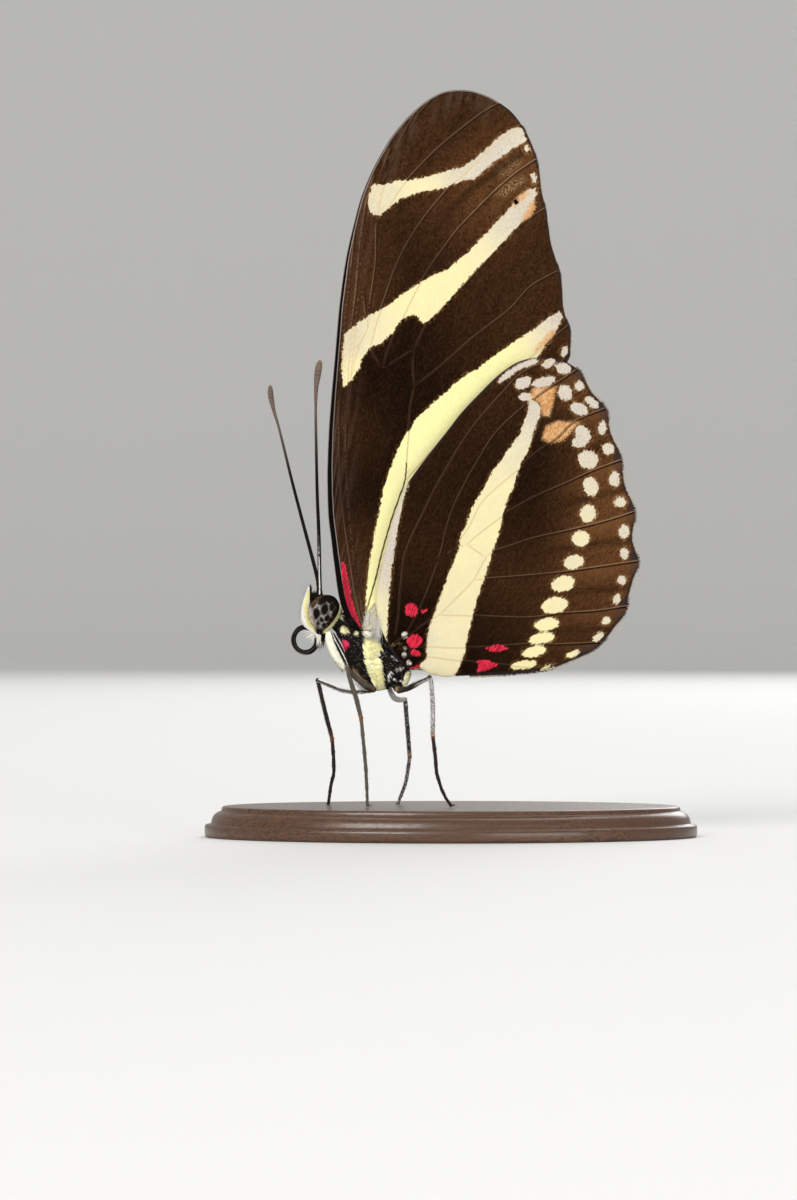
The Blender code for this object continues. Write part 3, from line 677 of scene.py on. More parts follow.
def mark_distance(points, rings, y):
    """Distance inside the nearest of several marks, below nothing outside them all."""
    best = np.full(len(points), -NOT_THERE)
    for ring in rings:
        best = np.maximum(best, ring_distance(points, from_photo(ring, y)))
    return best


def blend_of(points, anchors, y, reach):
    """Smooth field through values that are set at a few places."""
    places = from_photo([anchor[:2] for anchor in anchors], y)
    values = np.array([anchor[2] for anchor in anchors])
    gap = np.linalg.norm(points[:, None, :] - places[None, :, :], axis=2)
    weight = np.exp(-((gap / reach) ** 2)) + 1e-6 / (1.0 + gap**4)
    return (weight * values).sum(axis=1) / weight.sum(axis=1)


class Sheet:
    """A wing's flat plan: its fine triangles, and how far each point is from every mark."""

    def __init__(self, y, outline, costa, stem, outer, veins, marks, folds, tint, light):
        rim = spline(from_photo(outline, y), SHEET_STEP, closed=True)
        self.rim = rim
        low, high = rim.min(axis=0), rim.max(axis=0)
        rows = []
        row_step = SHEET_STEP * math.sqrt(0.75)
        for row, z in enumerate(np.arange(low[1], high[1], row_step)):
            x = np.arange(low[0], high[0], SHEET_STEP) + (row % 2) * SHEET_STEP / 2
            rows.append(np.stack([x, np.full(len(x), z)], axis=1))
        field = np.concatenate(rows)
        field = field[ring_distance(field, rim) > 0.6 * SHEET_STEP]
        edge_lines = [(index, (index + 1) % len(rim)) for index in range(len(rim))]
        places = [Vector(p) for p in np.concatenate([rim, field])]
        cut = delaunay_2d_cdt(places, edge_lines, [], 1, 1e-5)
        self.points = np.array([tuple(p) for p in cut[0]])
        self.faces = np.array(cut[2])
        self.y = y
        self.veins = {key: spline(from_photo(vein, y), 0.4) for key, vein in veins.items()}
        self.costa = from_photo(costa, y) if costa else None
        self.stem = spline(from_photo(stem, y), 0.3) if stem else None
        self.outer = from_photo(outer, y)[:, 0]
        self.marks = marks
        self.folds = [from_photo(fold, y) for fold in folds.values()]
        self.tint, self.light = tint, light
        self.low, self.high = low, high

    def distance_to(self, p, line):
        """Distance from a line that not every wing has."""
        return np.full(len(p), NOT_THERE) if line is None else path_distance(p, line)

    def values(self, p, root):
        """Named values for places on this wing."""
        result = {key: mark_distance(p, rings, self.y) for key, rings in self.marks.items()}
        sides = np.array([path_side(p, vein) for vein in self.veins.values()])
        nearest = np.argmin(np.abs(sides), axis=0)
        result["lee"] = sides[nearest, np.arange(len(p))]
        two = np.sort(np.abs(sides), axis=0)[:2]
        result["room"] = smooth_step(two[1] - two[0], 0.08, 0.3)
        result["vein"] = np.abs(result["lee"])
        result["stem"] = self.distance_to(p, self.stem)
        result["outer"] = smooth_step(p[:, 0], *self.outer)
        result["fold"] = np.min([path_distance(p, fold) for fold in self.folds], axis=0)
        result["edge"] = ring_distance(p, self.rim)
        reach = p - root
        result["along"] = np.linalg.norm(reach, axis=1)
        stripe = 0.0 if self.costa is None else np.interp(result["along"], *COSTA_STRIPE)
        result["costa"] = self.distance_to(p, self.costa) - stripe
        result["tint"] = blend_of(p, self.tint, self.y, 1.8)
        result["light"] = blend_of(p, self.light, self.y, 3.2)
        result["across"] = np.arctan2(reach[:, 0] + 6.0, reach[:, 1] + 14.0) * 30.0
        return result

    def flat_uv(self, p, far):
        """Both faces of the wing side by side in one square."""
        size = max(2.0 * (self.high[0] - self.low[0]), self.high[1] - self.low[1]) * 1.06
        uv = (p - self.low) / size + 0.01
        return uv + np.array([0.5, 0.0]) * far


def rod(path, radii, sides=8):
    """Points and faces of a tapered rod along a path in mm, closed at both ends."""
    path = np.asarray(path, float)
    radii = np.broadcast_to(radii, len(path)).astype(float)
    ahead = unit(np.gradient(path, axis=0))
    side = np.cross(ahead[0], [0.0, 1.0, 0.0])
    if np.linalg.norm(side) < 0.1:
        side = np.cross(ahead[0], [1.0, 0.0, 0.0])
    sides_along = []
    for direction in ahead:
        side = side - direction * side.dot(direction)
        side = side / np.linalg.norm(side)
        sides_along.append(side)
    sides_along = np.array(sides_along)
    across = np.cross(ahead, sides_along)
    angles = round_angles(sides)
    ring = (np.cos(angles)[None, :, None] * sides_along[:, None, :]
            + np.sin(angles)[None, :, None] * across[:, None, :])
    verts = (path[:, None, :] + ring * radii[:, None, None]).reshape(-1, 3)
    verts = np.concatenate([verts, path[:1], path[-1:]])
    return (verts, *tube_faces(len(path), sides))


class Bundle:
    """Collects many small shapes, with their values, into one mesh."""

    def __init__(self):
        self.verts, self.quads, self.tris, self.values, self.uv = [], [], [], {}, []
        self.count = 0

    def take(self, verts, quads=None, tris=None, uv=None, **values):
        self.verts.append(verts)
        if quads is not None and len(quads):
            self.quads.append(np.asarray(quads) + self.count)
        if tris is not None and len(tris):
            self.tris.append(np.asarray(tris) + self.count)
        for key, value in values.items():
            self.values.setdefault(key, []).append(np.broadcast_to(value, len(verts)))
        if uv is not None:
            self.uv.append(uv)
        self.count += len(verts)

    def build(self, name, material, **options):
        faces = []
        if self.quads:
            faces.append(np.concatenate(self.quads))
        if self.tris:
            faces.append(np.concatenate(self.tris))
        values = {key: np.concatenate(parts) for key, parts in self.values.items()}
        uv = np.concatenate(self.uv) if self.uv else None
        return make_mesh(name, np.concatenate(self.verts), faces, material, values, uv=uv, **options)


def boundary_edges(faces):
    """Edges that have a triangle on one side only, in that triangle's order."""
    edges = np.concatenate([faces[:, [0, 1]], faces[:, [1, 2]], faces[:, [2, 0]]])
    keys = np.sort(edges, axis=1)
    _, first, counts = np.unique(keys, axis=0, return_index=True, return_counts=True)
    return edges[first[counts == 1]]


def build_wing(sheet, side, layer, root, rib_radii):
    """One wing: two scaled faces, the rim that joins them and the ribs of its veins."""
    p = sheet.points
    values = sheet.values(p, root)
    pleat = 0.07 * (1.0 - np.exp(-((values["vein"] / 0.7) ** 2)))
    thicker = SHEET_THICKNESS - EDGE_THICKNESS
    thickness = EDGE_THICKNESS + thicker * smooth_step(values["edge"], 0.0, 0.5)
    middle = side * (layer(p) + pleat)
    bundle = Bundle()
    count = len(p)
    for far, sign in ((0, -1), (1, 1)):
        verts = np.stack([p[:, 0], middle + sign * thickness / 2, p[:, 1]], axis=1)
        inner = 1.0 if sign * side < 0 else 0.0
        faces = sheet.faces if sign < 0 else sheet.faces[:, ::-1]
        bundle.take(verts, tris=faces, uv=sheet.flat_uv(p, far), inner=inner, rib=0.0, tip=0.0, **values)
    edges = boundary_edges(sheet.faces)
    rim = np.stack([edges[:, 1], edges[:, 0], edges[:, 0] + count, edges[:, 1] + count], axis=1)
    bundle.quads.append(rim)
    for key, vein in sheet.veins.items():
        radii = np.linspace(*rib_radii.get(key, rib_radii["other"]), len(vein))
        depth = side * (layer(vein) + RIB_RAISE)
        path = np.stack([vein[:, 0], depth, vein[:, 1]], axis=1)
        verts, quads, tris = rod(path, radii)
        flat = verts[:, [0, 2]]
        far = ((verts[:, 1] - side * layer(flat)) > 0).astype(float)[:, None]
        bundle.take(verts, quads, tris, uv=sheet.flat_uv(flat, far), inner=0.0, rib=1.0, tip=0.0,
                    **sheet.values(flat, root))
    return bundle


def add_fringe(bundle, sheet, side, layer, root, stretch, length, seed):
    """Fine overlapping scales that stand out from one stretch of the wing's edge."""
    random = np.random.default_rng(seed)
    line = spline(sheet.rim, 0.05, closed=True)
    keep = inside(line, from_photo(stretch, sheet.y))
    ahead = unit(np.roll(line, -1, axis=0) - line)
    out = np.stack([-ahead[:, 1], ahead[:, 0]], axis=1)
    out[inside(line + out * 0.05, sheet.rim)] *= -1.0
    roots, heads, outs = line[keep], ahead[keep], out[keep]
    count = len(roots)
    size = length * (0.7 + 0.5 * random.random(count))
    lean = (random.random(count) - 0.5) * 0.5
    aim = outs + heads * lean[:, None]
    base = roots - outs * 0.08
    tips = roots + aim * size[:, None]
    half = heads * 0.035
    depth = side * layer(base)
    shift = (random.random(count) - 0.5) * 0.05
    corners = [base - half, base + half, tips + half * 0.4, tips - half * 0.4]
    heights = [0.0, 0.0, 1.0, 1.0]
    verts, tip = [], []
    for face in (-1.0, 1.0):
        for corner, height in zip(corners, heights):
            y = depth + shift + face * (0.02 - 0.008 * height)
            verts.append(np.stack([corner[:, 0], y, corner[:, 1]], axis=1))
            tip.append(np.full(count, height))
    verts = np.stack(verts, axis=1).reshape(-1, 3)
    tip = np.stack(tip, axis=1).ravel()
    index = np.arange(count)[:, None, None] * FRINGE_POINTS
    box = [[0, 1, 2, 3], [5, 4, 7, 6], [1, 0, 4, 5], [2, 1, 5, 6], [3, 2, 6, 7], [0, 3, 7, 4]]
    quads = (index + np.array(box)).reshape(-1, 4)
    flat = np.repeat(base, FRINGE_POINTS, axis=0)
    values = {
        key: np.repeat(value, FRINGE_POINTS) for key, value in sheet.values(base, root).items()
    }
    bundle.take(verts, quads, uv=sheet.flat_uv(flat, 0), inner=0.0, rib=0.0, tip=tip, **values)


YELLOW = (0.86, 0.84, 0.40)
CREAM = (0.80, 0.72, 0.40)
WHITISH = (0.60, 0.55, 0.49)
DARK_BROWN = (0.0048, 0.0026, 0.0017)
LIGHT_BROWN = (0.118, 0.048, 0.017)
GOLD_DARK, GOLD_LIGHT = (0.085, 0.036, 0.010), (0.26, 0.13, 0.05)
RIB_BROWN = (0.048, 0.021, 0.011)
RIB_TAN = (0.66, 0.52, 0.30)
ROOT_TAN = (0.12, 0.08, 0.045)
RED, DEEP_RED = (0.66, 0.030, 0.062), (0.33, 0.010, 0.026)
ORANGE = (0.54, 0.235, 0.065)
PEACH = (0.68, 0.42, 0.22)
BAND_ORANGE = (0.56, 0.24, 0.05)
PLUM = (0.030, 0.021, 0.022)
BLACK = (0.005, 0.004, 0.004)
# How far from its stem, in mm, the forewing has the colours of its root. The hindwing has no stem.
STEM_REACH = (8.0, 8.5)


def wing_paint():
    """Scales in the wing's colours: bands, spots, veins, folds, the dark rim, the fringe, and painted
    shade and highlights by veins, folds and front edge.
    """
    paint = Paint("wing_scales", roughness=0.7, Specular_IOR_Level=0.0)
    flat = paint.pair(paint.value("along"), paint.value("across"))
    rows = paint.stretch(flat, (5.5, 10.5, 1.0))
    dome, chance = paint.cells(1.0, rows, flat=True)
    streak = paint.noise(1.0, 3.0, paint.stretch(flat, (0.18, 2.6, 1.0)))
    cloud = paint.noise(5.0, 4.0)
    ragged = paint.add(paint.centred(chance, 0.14), paint.centred(cloud, 0.2))
    outside = paint.math("SUBTRACT", 1.0, paint.value("inner"))
    outer = paint.value("outer")

    def mask(name, soft=0.03):
        return paint.step(paint.add(paint.value(name), ragged), -soft, soft)

    cream = mask("cream")
    not_cream = paint.math("SUBTRACT", 1.0, cream)
    ramp = paint.node("ValToRGB")
    ramp.color_ramp.elements[0].color = (*YELLOW, 1.0)
    ramp.color_ramp.elements[1].color = (*WHITISH, 1.0)
    ramp.color_ramp.elements.new(0.45).color = (*CREAM, 1.0)
    tint = paint.add(paint.value("tint"), paint.centred(paint.noise(0.5, 2.0), 0.3))
    paint.put(ramp.inputs[0], tint)
    pale = paint.mix(paint.step(chance, 0.0, 1.0, 0.0, 0.16), ramp.outputs[0], (0.58, 0.50, 0.31))
    dusty = paint.times(paint.step(tint, 0.55, 1.0),
                        paint.step(paint.noise(12.0, 3.0), 0.46, 0.66, 0.0, 0.75))
    pale = paint.mix(dusty, pale, (0.38, 0.31, 0.23))

    light = paint.value("light")
    shade = paint.centred(paint.noise(1.1, 4.0), 0.9)
    shade = paint.add(shade, paint.centred(streak, 1.1))
    shade = paint.times(shade, paint.add(paint.times(light, 0.3), 0.05))
    light = paint.math("ADD", light, shade, clamp=True)
    brown = paint.mix(light, DARK_BROWN, LIGHT_BROWN)
    pale_scale = paint.mix(light, (0.020, 0.010, 0.005), (0.18, 0.085, 0.035))
    brown = paint.mix(paint.step(chance, 0.6, 1.0, 0.0, 0.45), brown, pale_scale)
    brown = paint.mix(paint.fade(chance, 0.0, 0.35, 0.4), brown, (0.003, 0.0018, 0.0013))
    fleck = paint.step(paint.add(paint.noise(17.0, 1.0), paint.times(light, 0.07)), 0.735, 0.76)
    fleck = paint.times(fleck, paint.add(paint.times(light, 0.5), 0.2))
    brown = paint.mix(fleck, brown, (0.24, 0.14, 0.06))
    dust = paint.times(paint.step(paint.value("dust"), -0.35, 0.35),
                       paint.step(paint.noise(12.0, 3.0), 0.5, 0.6))
    brown = paint.mix(paint.times(dust, 0.75), brown, (0.40, 0.26, 0.13))
    frost = paint.times(paint.fade(paint.value("costa"), 0.1, 2.6), paint.step(streak, 0.42, 0.62))
    brown = paint.mix(paint.times(frost, 0.22), brown, (0.16, 0.105, 0.08))
    fold = paint.value("fold")
    # Painted shade in the creases along the fold lines.
    painted_crease_shade = paint.times(paint.fade(fold, 0.0, 0.5, 0.6), paint.step(light, 0.1, 0.6))
    brown = paint.mix(painted_crease_shade, brown, (0.014, 0.007, 0.004))
    halo = paint.step(paint.add(paint.value("cream"), paint.times(ragged, 1.8)), -0.24, -0.02)
    brown = paint.mix(paint.times(halo, 0.7), brown, paint.mix(light, GOLD_DARK, GOLD_LIGHT))

    vein = paint.value("vein")
    near_end = paint.times(paint.fade(vein, 0.2, 1.2), outer)
    band = paint.add(paint.value("edge"), paint.times(near_end, -0.5))
    band = paint.add(band, paint.times(ragged, 0.8))
    brown = paint.mix(paint.fade(band, 0.04, 0.24, 0.85), brown, PLUM)

    lee = paint.value("lee")
    below = paint.times(paint.step(lee, -1.3, -0.15), paint.fade(lee, -0.1, -0.05))
    below = paint.times(paint.times(below, outer), paint.times(light, 0.6))
    brown = paint.mix(below, brown, (0.16, 0.070, 0.026))

    surface = paint.mix(cream, brown, pale)
    white = paint.step(paint.add(paint.value("white"), paint.times(ragged, 1.4)), -0.05, 0.05)
    mottle = paint.step(paint.noise(4.5, 5.0), 0.35, 0.65)
    mottle = paint.mix(mottle, (0.36, 0.30, 0.17), (0.64, 0.60, 0.48))
    mottle = paint.mix(paint.step(paint.value("stem"), *STEM_REACH), mottle, (0.72, 0.68, 0.60))
    surface = paint.mix(white, surface, mottle)
    ochre = paint.step(paint.add(paint.value("ochre"), paint.times(ragged, 0.8)), -0.08, 0.12)
    surface = paint.mix(paint.times(ochre, 0.6), surface, (0.40, 0.25, 0.09))
    blush = paint.mix(paint.step(paint.add(chance, cloud), 0.5, 1.5), PEACH, ORANGE)
    blush = paint.mix(paint.step(paint.value("stem"), *STEM_REACH), BAND_ORANGE, blush)
    frayed = paint.add(paint.value("orange"), paint.centred(paint.noise(13.0, 3.0), 1.1))
    surface = paint.mix(paint.times(paint.step(frayed, -0.12, 0.08, 0.0, 0.92), outside), surface, blush)

    # Along each vein a line: the vein's own tan on the pale bands, and painted shade of its groove on
    # the brown. Just above the vein is a painted highlight on the groove's edge.
    near = paint.times(paint.fade(vein, 0.25, 0.4), paint.value("room"))
    groove = paint.times(paint.fade(paint.math("ABSOLUTE", lee), 0.03, 0.10), near)
    ridge_highlight = paint.times(paint.times(paint.step(lee, 0.06, 0.10), paint.fade(lee, 0.12, 0.20)), near)
    vein_line_and_groove_shade = paint.mix(cream, (0.006, 0.004, 0.003), (0.60, 0.46, 0.24))
    surface = paint.mix(paint.times(groove, 0.7), surface, vein_line_and_groove_shade)
    painted_ridge_highlight = paint.mix(light, (0.035, 0.018, 0.011), (0.36, 0.22, 0.125))
    surface = paint.mix(paint.times(paint.times(ridge_highlight, not_cream), 0.75), surface, painted_ridge_highlight)
    rib = paint.mix(cream, paint.mix(outer, RIB_BROWN, (0.010, 0.006, 0.005)), RIB_TAN)
    near_stem = paint.fade(paint.value("stem"), *STEM_REACH)
    near_root = paint.times(paint.fade(paint.value("along"), 1.6, 4.0), near_stem)
    rib = paint.mix(near_root, rib, ROOT_TAN)
    surface = paint.mix(paint.times(paint.value("rib"), 0.8), surface, rib)
    stem = paint.mix(near_root, (0.020, 0.012, 0.006), (0.30, 0.19, 0.05))
    surface = paint.mix(paint.fade(paint.value("stem"), 0.04, 0.11, 0.9), surface, stem)
    crimson = paint.mix(paint.step(paint.add(chance, paint.times(cloud, 0.6)), 0.35, 1.1), DEEP_RED, RED)
    deep = paint.times(paint.times(paint.step(paint.value("red"), 0.04, 0.15), near_stem), 0.8)
    crimson = paint.mix(deep, crimson, (0.30, 0.015, 0.034))
    surface = paint.mix(paint.times(mask("red"), outside), surface, crimson)
    surface = paint.mix(mask("dark"), surface, BLACK)

    costa = paint.value("costa")
    surface = paint.mix(paint.fade(costa, -0.03, 0.02), surface, BLACK)
    # Painted highlight: a thin pale line along the front edge of the wing, from a few mm out of the
    # root.
    front_edge_highlight = paint.fade(paint.math("ABSOLUTE", paint.add(costa, -0.02)), 0.02, 0.05, 0.5)
    edge_highlights = paint.math("MAXIMUM", front_edge_highlight, paint.fade(paint.value("edge"), 0.02, 0.07, 0.6))
    along_front = paint.times(paint.fade(costa, 0.05, 0.12), paint.step(paint.value("along"), 3.0, 6.5))
    surface = paint.mix(paint.times(edge_highlights, along_front), surface, (0.42, 0.36, 0.33))
    fringe = paint.mix(paint.step(vein, 0.4, 0.9), (0.035, 0.022, 0.016), (0.50, 0.43, 0.33))
    surface = paint.mix(paint.step(paint.value("tip"), 0.35, 0.75), surface, fringe)
    paint.colour(surface)
    paint.roughness(paint.step(chance, 0.0, 1.0, 0.55, 0.8))
    height = paint.add(paint.times(dome, -1.0), paint.times(paint.noise(16.0, 2.0), 0.6))
    paint.bump(height, 0.02, 0.8)
    return paint.material


def ovals(spots):
    """Rings of several oval spots."""
    return [oval(spot) for spot in spots]


def add_wings():
    """Both pairs of wings: scaled faces, ribs and a fringe, one piece for each wing."""
    scales = wing_paint()
    fore_marks = {
        "cream": FORE_CREAM.values(), "white": FORE_WHITE.values(), "red": FORE_RED.values(),
        "orange": FORE_ORANGE.values(), "dark": FORE_DARK.values(), "ochre": ovals(FORE_OCHRE),
        "dust": FORE_DUST.values(),
    }
    hind_marks = {
        "cream": [*HIND_CREAM.values(), *ovals(HIND_SPOTS)], "white": ovals(HIND_WHITE_SPOTS),
        "red": [*HIND_RED.values(), *ovals(HIND_RED_SPOTS)], "orange": HIND_ORANGE.values(),
        "dark": [], "ochre": ovals(HIND_OCHRE_SPOTS), "dust": [],
    }
    fore = Sheet(-FORE_LAYER, FORE_OUTLINE, FORE_COSTA, FORE_STEM, FORE_OUTER, FORE_VEINS,
                 fore_marks, FORE_FOLDS, FORE_TINT, FORE_LIGHT)
    hind = Sheet(-HIND_LAYER, HIND_OUTLINE, None, None, HIND_OUTER, HIND_VEINS,
                 hind_marks, HIND_FOLDS, HIND_TINT, HIND_LIGHT)
    for side, label in ((-1, "left"), (1, "right")):
        for name, sheet, layer, root, ribs, stretch, length, seed in (
            ("forewing_", fore, fore_layer, WING_ROOT, FORE_RIBS, FORE_FRINGE, FORE_FRINGE_LENGTH, 11),
            ("hindwing_", hind, hind_layer, HIND_ROOT, HIND_RIBS, HIND_FRINGE, HIND_FRINGE_LENGTH, 12),
        ):
            bundle = build_wing(sheet, side, layer, root, ribs)
            add_fringe(bundle, sheet, side, layer, root, stretch, length, seed)
            bundle.build(name + label + "_scaled", scales, slot="wing", replaces=(name + label,))


# Body, in photo pixels of the side view: the point on the back, the point on the belly, and the
# half width in mm.
THORAX_RINGS = [
    ((337.5, 614.5), (335.0, 630.0), 0.5),
    ((342.5, 612.5), (339.5, 638.0), 0.9),
    ((351.0, 614.0), (345.5, 652.0), 1.25),
    ((362.0, 619.5), (351.5, 673.0), 1.44),
    ((373.5, 627.5), (358.0, 687.5), 1.46),
    ((384.5, 632.0), (372.5, 690.5), 1.4),
    ((393.0, 636.0), (387.0, 689.0), 1.32),
    ((399.5, 641.5), (399.5, 685.0), 1.15),
    ((404.0, 647.0), (406.0, 672.5), 0.85),
]
ABDOMEN_RINGS = [
    ((401, 648.0), (402, 671.0), 0.8),
    ((409, 646.5), (410, 670.0), 0.82),
    ((418, 645.5), (417, 669.5), 0.9),
    ((438, 644.5), (438, 671.5), 1.04),
    ((466, 644.5), (467.5, 671.5), 1.06),
    ((501, 643.5), (503, 669.0), 1.01),
    ((535.5, 639.8), (539, 662.5), 0.91),
    ((566, 635.0), (571, 655.0), 0.75),
    ((586, 632.5), (590.5, 646.4), 0.5),
    ((595.5, 633.4), (598, 641.6), 0.24),
]
SEGMENT_MM = 1.75
BODY_AXIS = [
    (309, 610), (324, 613), (337, 622), (352, 638), (372, 658), (395, 661), (420, 657), (466, 658),
    (503, 656), (539, 651), (571, 645), (597, 637),
]

# Lobes that the skin is drawn over: place in photo pixels, distance from the middle, radii in mm
# along, across and up, and tilt in degrees. Those off the middle stand on both sides.
LOBES = [
    (323.0, 612.0, 0.0, (1.08, 0.98, 1.24), -14),
    (315.0, 604.5, 0.0, (0.5, 0.62, 0.72), 10),
    (319.6, 598.6, 0.0, (0.44, 0.62, 0.34), 0),
    (315.5, 625.5, 0.0, (0.52, 0.55, 0.5), 0),
    (331.0, 616.0, 0.0, (0.7, 0.82, 0.95), -20),
    (352.5, 622.5, 1.32, (0.72, 0.36, 0.6), -35),
    (358.0, 650.0, 0.85, (0.85, 0.7, 1.55), 20),
    (372.0, 650.0, 0.95, (0.75, 0.55, 1.5), 8),
    (366.0, 633.5, 1.42, (0.62, 0.5, 0.42), 0),
    (390.5, 645.0, 1.28, (0.72, 0.42, 0.5), 0),
    (390.0, 664.0, 0.85, (0.7, 0.5, 1.35), -6),
    (343.0, 631.5, 0.72, (0.5, 0.42, 0.62), 20),
    (404.8, 678.5, 0.8, (0.34, 0.42, 0.74), 20),
]
# Rods that the skin is drawn over: the neck, the cheeks behind the eyes and the hips of the legs.
# Each has a path in photo pixels, then distances from the middle and radii at its two ends in mm.
LIMBS = [
    ([(331, 617), (341, 626)], (0.0, 0.0), (0.62, 0.6)),
    (
        [
            (340.4, 604), (339.4, 609), (336.5, 616.5), (332.5, 622.5), (328, 627.5), (322, 631.5),
            (316, 632),
        ],
        (0.9, 0.86),
        (0.12, 0.2),
    ),
    ([(357, 668), (364, 679), (374, 687.5)], (0.85, 0.75), (0.42, 0.34)),
    ([(391, 668), (394.5, 680), (397, 690)], (0.95, 0.85), (0.56, 0.26)),
]
SKIN_VOXEL = 0.075
# Grooves between the plates of the thorax, and the marks of the body, in photo pixels.
SUTURES = [
    [(383.5, 634), (384.5, 650), (385, 668), (386.5, 690)],
    [(351, 656), (357, 664), (366, 676), (376, 689)],
    [(356, 628), (354, 642), (351, 655)],
    [(390, 670), (387.5, 679), (391, 690)],
    [(362, 658.3), (371.5, 660), (377.5, 657.5), (382.5, 651)],
]

BODY_CREAM = [
    [
        (362.9, 638), (362.3, 646.7), (363.3, 653.5), (364.6, 659.5), (371.7, 660.5), (377, 658.4),
        (379.6, 652.4), (381.7, 646.5), (380, 642), (375, 638.5), (367, 635.5),
    ],
    [
        (362.9, 658.4), (365, 664.5), (368.3, 673.5), (371.7, 682), (377, 690), (381.7, 696),
        (384.5, 694), (383, 683.3), (382.2, 673.3), (381.7, 665.3), (381.0, 660), (377.7, 657.4),
        (371.5, 659.4),
    ],
    *ovals([(343.7, 629.5, 4.1, 4.1, 0), (356, 633, 2.9, 2.1, 20), (340.6, 617, 1.6, 2.5, 0)]),
    [(361, 631.5), (367, 630.6), (373, 632.6), (367, 634.8)],
    [
        (401.9, 685.3), (403.2, 678.7), (406.3, 671.3), (411, 672.5), (409.3, 679), (406, 686),
        (402.3, 690),
    ],
]
BODY_WHITE_AND_HIGHLIGHTS = [
    *ovals([(369, 620, 2.6, 8, 10)]),
    [(362, 632), (374, 631), (379, 635), (371, 636.6), (363.4, 636)],
    [(387.5, 682), (387.2, 676), (389.6, 672), (392, 670.8), (391, 673), (389.2, 677), (389.3, 682)],
    [(389, 686.5), (391.5, 687.5), (396, 695), (395, 700), (390, 694)],
    [(395.5, 668.6), (403, 666.4), (402.6, 667.8), (396, 669.8)],
    [(350, 674), (354.5, 679.5), (361, 686.5), (367, 692), (355, 694), (347, 687)],
    # Small white dots; the last two, on the hind part of the thorax, are painted highlights.
    *ovals([(394, 679.3, 1.2, 1.2, 0), (400.3, 681, 0.9, 0.9, 0), (379.1, 654.8, 1.5, 1.2, 30),
            (391.7, 656.3, 1.1, 0.9, 20), (394.7, 659, 1.0, 0.7, 30)]),
]
BODY_RED = [
    [
        (342.2, 638.8), (346.4, 640.4), (349.6, 642.8), (347.0, 646.8), (343.4, 650.2), (340.8, 646),
        (340.4, 641.9),
    ],
]
BODY_GOLD = [
    [
        (352, 667), (355.5, 670.6), (360.5, 677), (367, 682.6), (374, 686.6), (373, 689), (366, 685.8),
        (359, 680.4), (354, 674),
    ],
    [(391, 643), (402, 641), (402, 646), (394, 648)],
    *ovals([(397.6, 689.5, 3.2, 3.2, 0)]),
]
# Pale marks on the head that wrap round it: path in photo pixels, distance from the middle and
# radius in mm.
HEAD_PALE = [
    ([(340.6, 604), (339.9, 608.5), (337.2, 616.5)], 1.0, 0.12),
    ([(337.2, 616.5), (333.2, 623.5), (328.5, 628.8), (324, 632)], 0.95, 0.17),
    ([(326, 630), (330, 628.5), (332, 626.6)], 0.9, 0.2),
    ([(310.5, 607), (310.8, 611)], 0.32, 0.13),
    ([(326.5, 597.8), (328.5, 598.6)], 0.5, 0.15),
    ([(334, 604), (337, 608)], 0.36, 0.17),
    ([(312, 627), (316, 631)], 0.35, 0.26),
]


def ball(centre, radii, tilt=0.0, rows=12, columns=18):
    """Closed ellipsoid in mm, tilted in the side view."""
    heights = np.linspace(0.0, math.pi, rows + 1)[1:-1]
    angles = round_angles(columns)
    ring = np.stack([
        np.sin(heights)[:, None] * np.cos(angles)[None, :],
        np.sin(heights)[:, None] * np.sin(angles)[None, :],
        np.cos(heights)[:, None] * np.ones(columns)[None, :],
    ], axis=2).reshape(-1, 3)
    verts = np.concatenate([ring, [[0.0, 0.0, 1.0], [0.0, 0.0, -1.0]]]) * radii
    turn = math.radians(tilt)
    x = verts[:, 0] * math.cos(turn) + verts[:, 2] * math.sin(turn)
    z = -verts[:, 0] * math.sin(turn) + verts[:, 2] * math.cos(turn)
    verts = np.stack([x, verts[:, 1], z], axis=1) + centre
    index = np.arange(columns)
    following = (index + 1) % columns
    start = np.arange(rows - 2)[:, None] * columns
    quads = np.stack([start + index, start + columns + index, start + columns + following,
                      start + following], axis=2).reshape(-1, 4)
    top, bottom = len(ring), len(ring) + 1
    last = (rows - 2) * columns
    tris = np.concatenate([
        np.stack([np.full(columns, top), index, following], axis=1),
        np.stack([np.full(columns, bottom), last + following, last + index], axis=1),
    ])
    return verts, quads, tris


def ringed(rings, y=0.0, corners=40, step=0.15, swell=None):
    """Closed body through rings given by two side-view pixels and a half width."""
    flat = spline([
        (*from_photo([back], y)[0], *from_photo([belly], y)[0], half) for back, belly, half in rings
    ], step)
    angles = round_angles(corners)
    middle = (flat[:, 0:2] + flat[:, 2:4]) / 2
    reach = (flat[:, 0:2] - flat[:, 2:4]) / 2
    grow = np.ones(len(flat))
    if swell is not None:
        grow = swell(lengths_along(middle))
    side = middle[:, None, :] + reach[:, None, :] * np.cos(angles)[None, :, None] * grow[:, None, None]
    width = y + flat[:, 4, None] * np.sin(angles)[None, :] * grow[:, None]
    verts = np.stack([side[..., 0], width, side[..., 1]], axis=2).reshape(-1, 3)
    ends = [(x, y, z) for x, z in (middle[0], middle[-1])]
    return (np.concatenate([verts, ends]), *tube_faces(len(flat), corners))


def path_3d(pixels, outs):
    """Places in mm of photo pixels, with distances from the middle that run evenly along them."""
    outs = np.interp(np.linspace(0.0, 1.0, len(pixels)), np.linspace(0.0, 1.0, len(outs)), outs)
    flat = np.array([from_photo([pixel], -abs(out))[0] for pixel, out in zip(pixels, outs)])
    return np.stack([flat[:, 0], outs, flat[:, 1]], axis=1)


def side_path(pixels, side, outs):
    """Smooth path in mm through photo pixels on one side, each point at its own distance out."""
    flat = np.array([from_photo([pixel], side * out)[0] for pixel, out in zip(pixels, outs)])
    return spline(np.stack([flat[:, 0], side * outs, flat[:, 1]], axis=1), 0.08)


